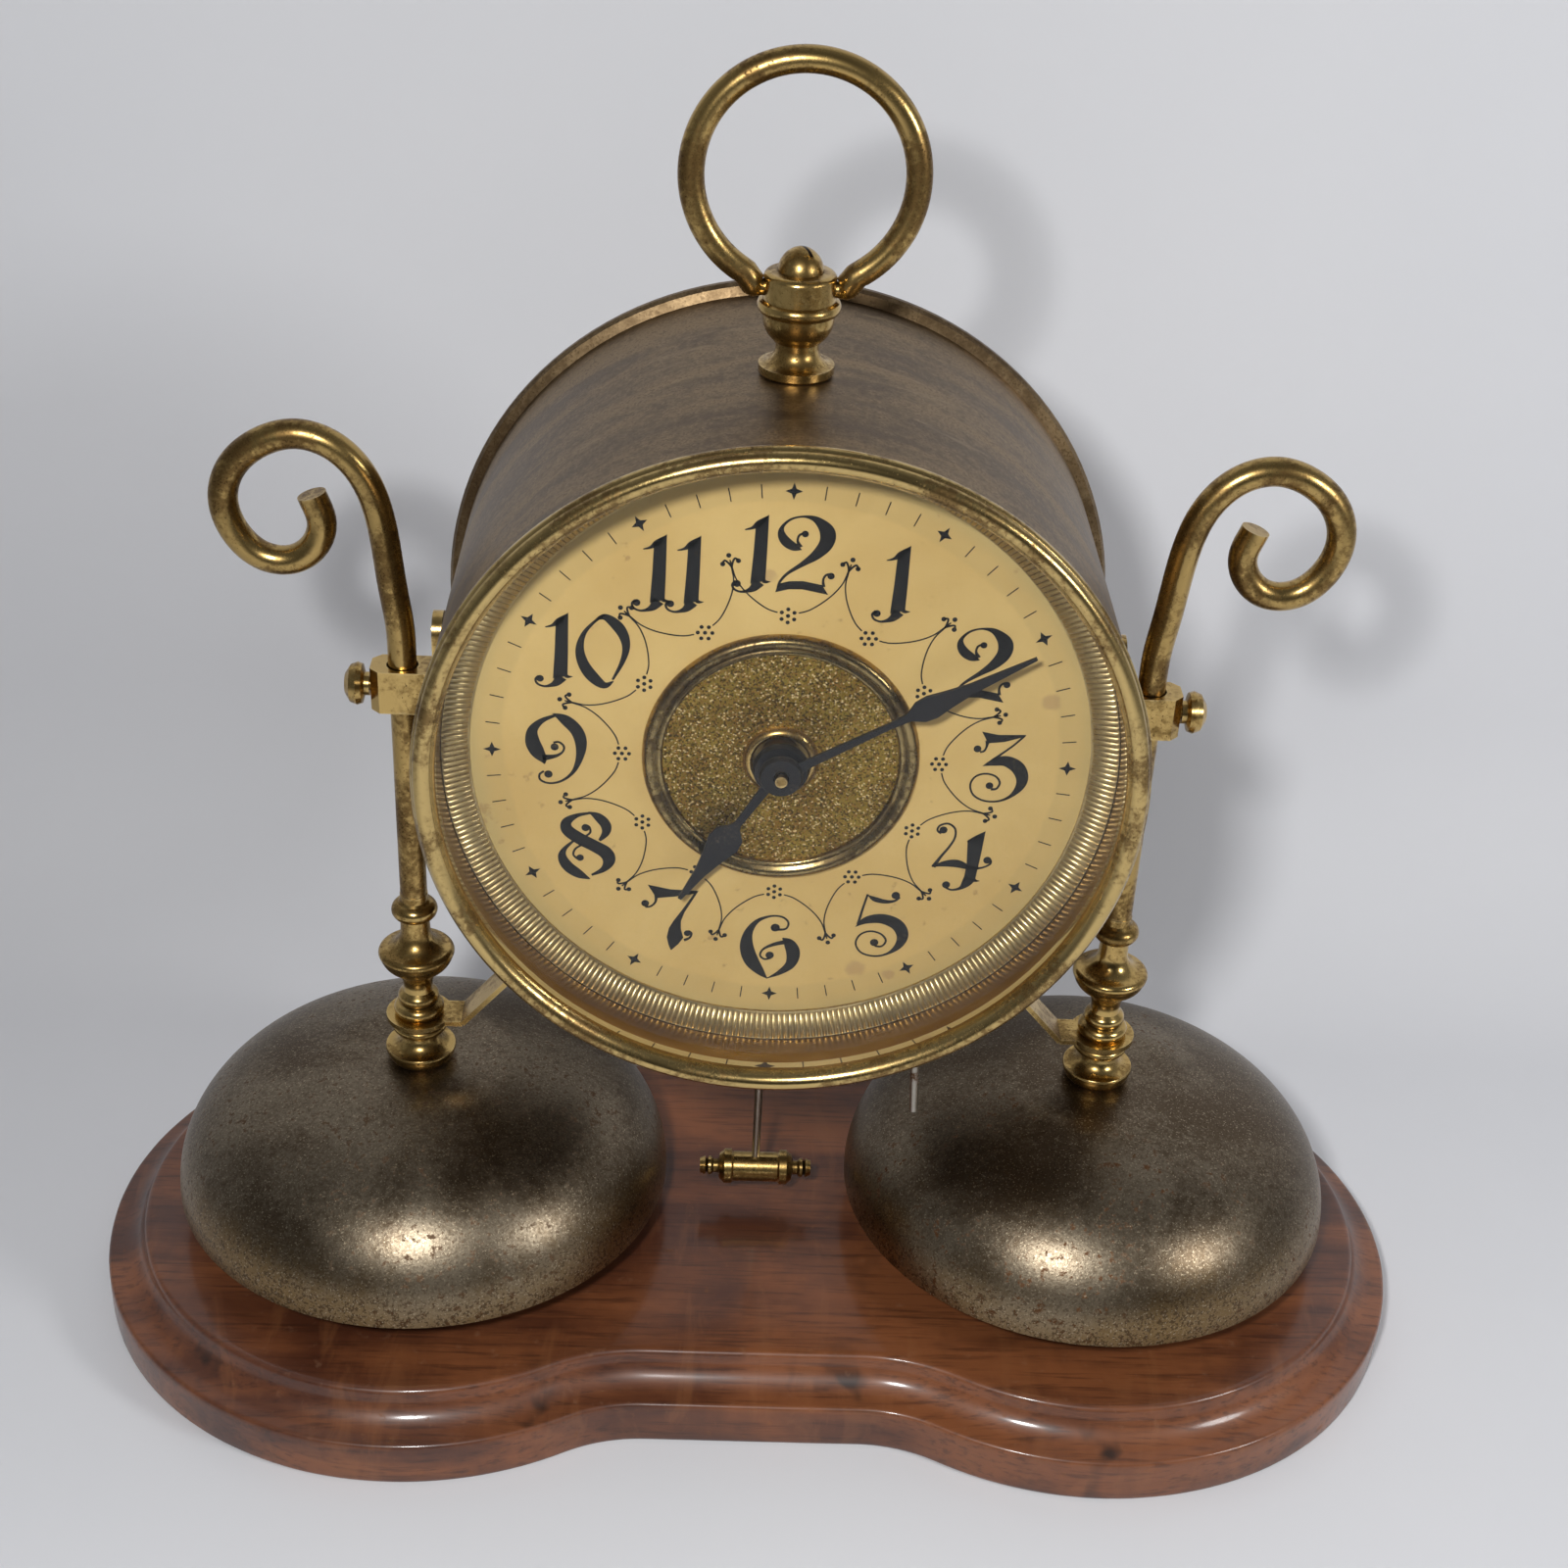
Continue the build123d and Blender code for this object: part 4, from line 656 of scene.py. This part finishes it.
# Numbers: upright, thick and thin, with small balls at the ends of their curls. Each figure is
# drawn in a box one unit high: (x, z, width) strokes, (x, z, radius) balls and straight-edged parts.
figures = {
    "1": ((-0.24, 0.21), [
        [(0.155, 0.99, 0.0), (0.05, 0.885, 0.07), (-0.03, 0.825, 0.03), (-0.115, 0.80, 0.01)],
        [(0.12, 0.155, 0.05), (0.16, 0.14, 0.03), (0.21, 0.145, 0.0)],
        [(0.075, 0.14, 0.13), (0.01, 0.055, 0.085), (-0.06, 0.015, 0.04), (-0.14, 0.0, 0.022),
         (-0.215, 0.03, 0.022), (-0.24, 0.09, 0.024), (-0.20, 0.135, 0.03)]],
        [(-0.185, 0.105, 0.045)],
        [[((0.01, 0.875), (0.16, 1.0)), ((-0.005, 0.5), (0.155, 0.5)), ((-0.03, 0.11), (0.147, 0.15))]]),
    "2": ((0.0, 0.69), [
        [(0.29, 0.57, 0.0), (0.20, 0.60, 0.085), (0.10, 0.666, 0.105), (0.043, 0.762, 0.08),
         (0.053, 0.857, 0.035), (0.149, 0.953, 0.022), (0.298, 0.991, 0.022), (0.447, 0.953, 0.075),
         (0.574, 0.815, 0.16), (0.574, 0.666, 0.155), (0.468, 0.517, 0.11), (0.309, 0.389, 0.055),
         (0.138, 0.262, 0.03), (0.053, 0.155, 0.025), (0.028, 0.07, 0.022)],
        [(0.57, 0.10, 0.035), (0.56, 0.19, 0.022), (0.585, 0.25, 0.022), (0.63, 0.27, 0.022)],
        [(0.27, 0.60, 0.055), (0.235, 0.68, 0.024), (0.25, 0.75, 0.022), (0.30, 0.78, 0.022)]],
        [(0.65, 0.245, 0.043), (0.32, 0.772, 0.042)],
        [[((0.03, 0.12), (0.0, 0.01)), ((0.16, 0.16), (0.16, 0.055)), ((0.32, 0.168), (0.32, 0.06)),
          ((0.55, 0.125), (0.63, 0.0))]]),
    "3": ((0.0, 0.71), [
        [(0.17, 0.88, 0.05), (0.165, 0.80, 0.024), (0.14, 0.735, 0.022), (0.09, 0.715, 0.022)],
        [(0.62, 0.965, 0.022), (0.50, 0.83, 0.02), (0.36, 0.70, 0.022), (0.25, 0.60, 0.035)],
        [(0.14, 0.52, 0.0), (0.27, 0.575, 0.085), (0.42, 0.60, 0.13), (0.57, 0.52, 0.155),
         (0.645, 0.38, 0.14), (0.63, 0.24, 0.10), (0.53, 0.10, 0.04), (0.38, 0.02, 0.022),
         (0.20, 0.02, 0.02), (0.06, 0.10, 0.02), (0.01, 0.24, 0.02), (0.06, 0.36, 0.02),
         (0.18, 0.41, 0.02), (0.31, 0.38, 0.02), (0.375, 0.29, 0.022), (0.34, 0.20, 0.022),
         (0.27, 0.19, 0.03)]],
        [(0.055, 0.76, 0.048), (0.25, 0.24, 0.048)],
        [[((0.09, 1.005), (0.18, 0.844)), ((0.30, 0.966), (0.377, 0.87)), ((0.636, 0.979), (0.631, 0.955))]]),
    "4": ((0.0, 0.75), [
        [(0.63, 0.90, 0.0), (0.53, 0.80, 0.06), (0.42, 0.745, 0.015)],
        [(0.02, 0.35, 0.05), (0.10, 0.50, 0.03), (0.20, 0.66, 0.025), (0.26, 0.80, 0.022),
         (0.25, 0.93, 0.022), (0.16, 1.0, 0.022), (0.06, 0.97, 0.022), (0.03, 0.90, 0.022),
         (0.08, 0.85, 0.022)],
        [(0.0, 0.35, 0.0), (0.15, 0.40, 0.07), (0.32, 0.41, 0.10), (0.50, 0.35, 0.05),
         (0.64, 0.36, 0.022), (0.74, 0.42, 0.022), (0.745, 0.48, 0.022)],
        [(0.50, 0.20, 0.14), (0.46, 0.12, 0.11), (0.39, 0.04, 0.04), (0.28, 0.01, 0.022),
         (0.19, 0.05, 0.022)],
        [(0.53, 0.19, 0.06), (0.58, 0.16, 0.03), (0.63, 0.16, 0.0)]],
        [(0.105, 0.905, 0.052), (0.70, 0.475, 0.052), (0.205, 0.085, 0.052)],
        [[((0.425, 0.75), (0.64, 0.91)), ((0.44, 0.42), (0.61, 0.54)), ((0.425, 0.16), (0.57, 0.17))]]),
    "5": ((0.0, 0.69), [
        [(0.13, 0.96, 0.0), (0.22, 0.90, 0.06), (0.36, 0.865, 0.05), (0.48, 0.88, 0.028),
         (0.545, 0.94, 0.022)],
        [(0.13, 0.97, 0.022), (0.08, 0.75, 0.024), (0.03, 0.50, 0.03)],
        [(0.0, 0.46, 0.0), (0.13, 0.565, 0.09), (0.33, 0.60, 0.13), (0.53, 0.52, 0.15), (0.62, 0.36, 0.14),
         (0.58, 0.19, 0.09), (0.45, 0.06, 0.03), (0.28, 0.01, 0.022), (0.10, 0.06, 0.02),
         (0.02, 0.20, 0.02),
         (0.07, 0.34, 0.02), (0.20, 0.40, 0.02), (0.34, 0.36, 0.02), (0.41, 0.26, 0.022),
         (0.36, 0.17, 0.022), (0.27, 0.17, 0.022)]],
        [(0.49, 0.965, 0.055), (0.26, 0.225, 0.055)], []),
    "6": ((0.0, 0.72), [
        [(0.46, 0.78, 0.03), (0.56, 0.80, 0.022), (0.585, 0.90, 0.022), (0.50, 0.98, 0.022),
         (0.35, 0.985, 0.024), (0.18, 0.90, 0.05), (0.075, 0.72, 0.10), (0.06, 0.50, 0.16),
         (0.13, 0.28, 0.17), (0.25, 0.11, 0.10), (0.35, 0.0, 0.0)],
        [(0.33, 0.0, 0.0), (0.50, 0.10, 0.06), (0.64, 0.24, 0.12), (0.67, 0.42, 0.16), (0.61, 0.57, 0.13),
         (0.52, 0.65, 0.01)],
        [(0.60, 0.60, 0.06), (0.42, 0.55, 0.045), (0.28, 0.47, 0.024), (0.24, 0.37, 0.022),
         (0.30, 0.31, 0.022),
         (0.38, 0.33, 0.022)]],
        [(0.42, 0.81, 0.06), (0.365, 0.375, 0.055)], []),
    "7": ((0.0, 0.73), [
        [(0.19, 0.84, 0.04), (0.18, 0.74, 0.024), (0.12, 0.67, 0.022), (0.05, 0.66, 0.022)],
        [(0.56, 0.16, 0.035), (0.63, 0.20, 0.024), (0.655, 0.27, 0.022), (0.61, 0.31, 0.022)]],
        [(0.05, 0.715, 0.05), (0.60, 0.27, 0.045)],
        [[((0.08, 1.0), (0.19, 0.80)), ((0.37, 0.94), (0.42, 0.83)), ((0.72, 0.93), (0.68, 0.885))],
         [((0.68, 0.90), (0.73, 0.93)), ((0.52, 0.62), (0.56, 0.60)), ((0.42, 0.46), (0.515, 0.46)),
          ((0.36, 0.34), (0.515, 0.34)), ((0.335, 0.20), (0.55, 0.20)), ((0.36, 0.08), (0.49, 0.10)),
          ((0.39, 0.0), (0.40, 0.0))]]),
    "8": ((0.0, 0.70), [
        [(0.40, 0.985, 0.022), (0.22, 0.94, 0.05), (0.09, 0.84, 0.11), (0.10, 0.72, 0.14),
         (0.25, 0.60, 0.15),
         (0.43, 0.50, 0.15), (0.58, 0.40, 0.16), (0.62, 0.28, 0.14), (0.55, 0.15, 0.07),
         (0.40, 0.06, 0.022)],
        [(0.36, 1.0, 0.0), (0.48, 0.93, 0.10), (0.575, 0.82, 0.12), (0.58, 0.70, 0.09), (0.50, 0.58, 0.03)],
        [(0.18, 0.57, 0.022), (0.06, 0.44, 0.05), (0.03, 0.32, 0.10), (0.10, 0.18, 0.13),
         (0.24, 0.07, 0.11),
         (0.38, 0.0, 0.01)],
        [(0.33, 0.64, 0.022), (0.385, 0.70, 0.022), (0.37, 0.78, 0.022), (0.31, 0.80, 0.022)],
        [(0.30, 0.52, 0.022), (0.20, 0.45, 0.022), (0.17, 0.36, 0.022), (0.22, 0.30, 0.022)]],
        [(0.325, 0.765, 0.052), (0.255, 0.315, 0.048)], []),
    "9": ((0.0, 0.72), [
        [(0.31, 1.0, 0.0), (0.46, 0.92, 0.12), (0.60, 0.78, 0.14), (0.66, 0.60, 0.13), (0.64, 0.38, 0.08),
         (0.56, 0.18, 0.04), (0.42, 0.05, 0.025), (0.27, 0.01, 0.022), (0.16, 0.05, 0.022),
         (0.145, 0.13, 0.022), (0.20, 0.18, 0.022)],
        [(0.34, 0.97, 0.03), (0.18, 0.89, 0.06), (0.07, 0.76, 0.11), (0.065, 0.60, 0.16),
         (0.12, 0.46, 0.16),
         (0.19, 0.35, 0.09), (0.21, 0.28, 0.0)],
        [(0.18, 0.37, 0.08), (0.34, 0.40, 0.04), (0.43, 0.46, 0.022), (0.45, 0.54, 0.022),
         (0.39, 0.60, 0.022),
         (0.32, 0.59, 0.022)]],
        [(0.255, 0.14, 0.052), (0.335, 0.53, 0.05)], []),
    "0": ((0.0, 0.63), [
        [(0.20, 0.90, 0.0), (0.33, 0.96, 0.07), (0.47, 0.86, 0.12), (0.56, 0.72, 0.11), (0.59, 0.55, 0.08),
         (0.54, 0.35, 0.05), (0.43, 0.12, 0.022)],
        [(0.33, 0.99, 0.022), (0.19, 0.87, 0.03), (0.08, 0.72, 0.05), (0.035, 0.52, 0.09),
         (0.08, 0.32, 0.12),
         (0.19, 0.15, 0.13), (0.33, 0.04, 0.08), (0.44, 0.10, 0.01)]],
        [], []),
}
number_height = 13.2
number_places = (
    ("12", -1.0, 36.4, 0.06), ("1", 16.2, 32.1, 0.0), ("2", 31.6, 18.4, 0.0), ("3", 35.9, -0.3, 0.0),
    ("4", 31.2, -17.9, 0.0), ("5", 18.7, -32.0, 0.0), ("6", -0.3, -37.3, 0.0), ("7", -17.6, -31.9, 0.0),
    ("8", -31.5, -17.9, 0.0), ("9", -36.5, 0.4, 0.0), ("10", -32.3, 18.5, 0.05), ("11", -18.9, 32.5, -0.05))
number_ribbons = []
for text, centre_x, centre_z, gap in number_places:
    total = sum(figures[c][0][1] - figures[c][0][0] for c in text) + gap * (len(text) - 1)
    start = -total / 2
    for character in text:
        (left, right), strokes, balls, straight = figures[character]
        ribbons = [pen([(x, z, width * 1.1 + 0.004) for x, z, width in stroke]) for stroke in strokes]
        ribbons += [dot(*ball) for ball in balls] + straight
        for ribbon in ribbons:
            number_ribbons.append([tuple((centre_x + (x - left + start) * number_height,
                                          centre_z + (z - 0.5) * number_height) for x, z in pair)
                                   for pair in ribbon])
        start += right - left + gap
numbers = printed("dial_numbers", number_ribbons, drum_z)
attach(numbers, "clock")

# Dial centre: a gilt disc with a glittering grain inside a raised brass ring, and a brass boss
# round the hands' arbor.
gilt = Finish("gilt_grain", Metallic=1.0)
flake_scale = 3600.0
flake = gilt.node("ShaderNodeTexVoronoi", None, {"Vector": gilt.place, "Scale": flake_scale}, out="Color")
chance = gilt.node("ShaderNodeSeparateColor", None, {"Color": flake}, out="Red")
hue = gilt.node("ShaderNodeSeparateColor", None, {"Color": flake}, out="Green")
flake_depth = gilt.node("ShaderNodeTexVoronoi", None, {"Vector": gilt.place, "Scale": flake_scale},
                        out="Distance")
gilt_cloud = gilt.cloud(140, 4)
gilt_tone = gilt.tint(gilt.rise(gilt_cloud, 0.35, 0.65), (0.32, 0.195, 0.030), (0.50, 0.34, 0.060))
gilt_tone = gilt.tint(gilt.rise(hue, 0.55, 0.9) * 0.6, gilt_tone, (0.44, 0.20, 0.05))
gilt_tone = gilt.tint((1 - gilt.rise(hue, 0.1, 0.4)) * 0.4, gilt_tone, (0.20, 0.20, 0.04))
gilt_tone = gilt.tint(gilt.rise(chance, 0.86, 0.98), gilt_tone, (0.98, 0.80, 0.40))
gilt_tone = gilt.tint((1 - gilt.rise(chance, 0.10, 0.45)) * 0.8, gilt_tone, (0.05, 0.030, 0.008))
gilt.surface(Base_Color=gilt_tone, Roughness=0.30 + chance * 0.15,
             Normal=gilt.relief(flake_depth + chance * 0.8, 0.00012, 0.8))
give(gilt, "centre_disc")
ring_brass = worn_brass("ring_brass", (0.34, 0.25, 0.105), (0.12, 0.08, 0.034),
                        (0.03, 0.018, 0.008), 0.20, 0.9)
raised_ring = piece("raised_ring", *spun([
    (19.35, -32.8), (19.35, -33.5), (19.55, -33.85), (19.85, -33.95), (20.15, -33.8), (20.35, -33.72),
    (20.65, -33.95), (21.0, -34.2), (21.5, -34.3), (22.0, -34.15), (22.4, -33.75), (22.62, -33.2),
    (22.72, -32.8)], 160), ring_brass, sharp=1.0)
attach(raised_ring, "clock")
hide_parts("centre_disc_ring")
boss = piece("hand_boss", *spun([
    (4.62, -33.2), (4.62, -33.9), (4.75, -34.25), (5.0, -34.38), (5.3, -34.38), (5.65, -34.2),
    (6.0, -33.85),
    (6.2, -33.5), (6.28, -33.2)], 96), turned_brass, sharp=1.0)
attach(boss, "clock")
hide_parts("centre_boss")

# Hands: spade shapes cut from thin steel and blacked, worn a little brown, on the end of a brass
# arbor.
black_steel = Finish("black_steel", Metallic=0.6, IOR=1.5)
hand_cloud = black_steel.cloud(260, 4)
hand_fine = black_steel.cloud(2400, 3)
hand_wear = black_steel.rise(hand_fine + (hand_cloud - 0.5) * 0.6, 0.60, 0.74)
black_steel.surface(
    Base_Color=black_steel.tint(
        hand_wear * 0.5, black_steel.tint(hand_cloud, (0.010, 0.011, 0.014), (0.026, 0.025, 0.028)),
        (0.16, 0.12, 0.08)),
    Roughness=0.36 + hand_cloud * 0.2 + hand_wear * 0.2,
    Normal=black_steel.relief(hand_fine, 0.00003, 0.6))
give(black_steel, "hour_hand", "minute_hand")
give(turned_brass, "centre_arbor")

# Studio: a pale paper sweep under and behind the clock, one small lamp above on the left, a wider
# one on the right, and a pale world that the metal shows. From behind, the sweep can be looked through.
sweep_reach = 900.0
sweep_height = 700.0
floor_back = 75.0
curve_radius = 60.0
curve_steps = 12
sweep_rows = [(-sweep_reach, 0.0), (floor_back, 0.0)]
for step in range(1, curve_steps + 1):
    angle = step * math.pi / 2 / curve_steps
    sweep_rows.append((floor_back + curve_radius * math.sin(angle), curve_radius * (1 - math.cos(angle))))
sweep_rows += [(floor_back + curve_radius, sweep_height)]
sweep_corners = [(x, y, z) for y, z in sweep_rows for x in (-sweep_reach, sweep_reach)]
sweep_faces = [(2 * i, 2 * i + 1, 2 * i + 3, 2 * i + 2) for i in range(len(sweep_rows) - 1)]
pale_paper = Finish("pale_paper", Roughness=0.7, Specular_IOR_Level=0.3)
paper_cloud = pale_paper.cloud(5, 3)
far_side = pale_paper.node("ShaderNodeNewGeometry", out="Backfacing")
pale_paper.surface(Base_Color=pale_paper.tint(paper_cloud, (0.74, 0.75, 0.78), (0.82, 0.82, 0.84)),
                   Alpha=1 - far_side)
sweep = piece("paper_sweep", sweep_corners, sweep_faces, pale_paper, sharp=1.5)
if sweep.data.polygons[0].normal.z < 0:
    sweep.data.flip_normals()


def lamp(name, power, size, place, aim):
    light = bpy.data.lights.new(name, "AREA")
    light.energy = power
    light.shape = "DISK"
    light.size = size
    made = bpy.data.objects.new(name, light)
    made.location = place
    made.rotation_euler = (Vector(aim) - Vector(place)).to_track_quat("-Z", "Y").to_euler()
    bpy.context.scene.collection.objects.link(made)


lamp("key_lamp", 1.55, 0.045, (-0.075, -0.39, 0.39), (0.0, 0.0, 0.11))
lamp("side_lamp", 1.1, 0.14, (0.46, -0.30, 0.34), (0.05, 0.0, 0.08))
world = bpy.data.worlds.new("pale_room")
bpy.context.scene.world = world
world.use_nodes = True
world_tree = world.node_tree
facing_way = world_tree.nodes.new("ShaderNodeTexCoord")
parts_of_it = world_tree.nodes.new("ShaderNodeSeparateXYZ")
world_tree.links.new(facing_way.outputs["Generated"], parts_of_it.inputs[0])
behind = Wire(world_tree, parts_of_it.outputs["Y"])
upward = Wire(world_tree, parts_of_it.outputs["Z"])
glow = 0.30 + behind * 0.26 - upward * 0.10
world_tree.links.new(glow.socket, world_tree.nodes["Background"].inputs["Strength"])
world_tree.nodes["Background"].inputs["Color"].default_value = (0.86, 0.88, 0.92, 1.0)

# Camera: at the photograph's place, a little left of the clock and looking down on it, with the
# lens and the shift that line its rims up with the photograph's.
yaw, pitch, roll = -0.040, 0.565, 0.054
forward = Vector((-math.sin(yaw) * math.cos(pitch), math.cos(yaw) * math.cos(pitch), -math.sin(pitch)))
level = Vector((math.cos(yaw), math.sin(yaw), 0.0))
rising = level.cross(forward)
right = math.cos(roll) * level + math.sin(roll) * rising
above = -math.sin(roll) * level + math.cos(roll) * rising
lens = bpy.data.cameras.new("camera")
lens.sensor_width = 36.0
lens.lens = 53.39
lens.shift_x = -0.0040
lens.shift_y = 0.0511
lens.clip_start = 0.01
camera = bpy.data.objects.new("camera", lens)
camera_place = (-0.01072, -0.36228, 0.32666)
camera.matrix_world = Matrix([(right[i], above[i], -forward[i], camera_place[i]) for i in range(3)]
                             + [(0.0, 0.0, 0.0, 1.0)])
bpy.context.scene.collection.objects.link(camera)
bpy.context.scene.camera = camera
bpy.context.scene.view_settings.view_transform = "Standard"
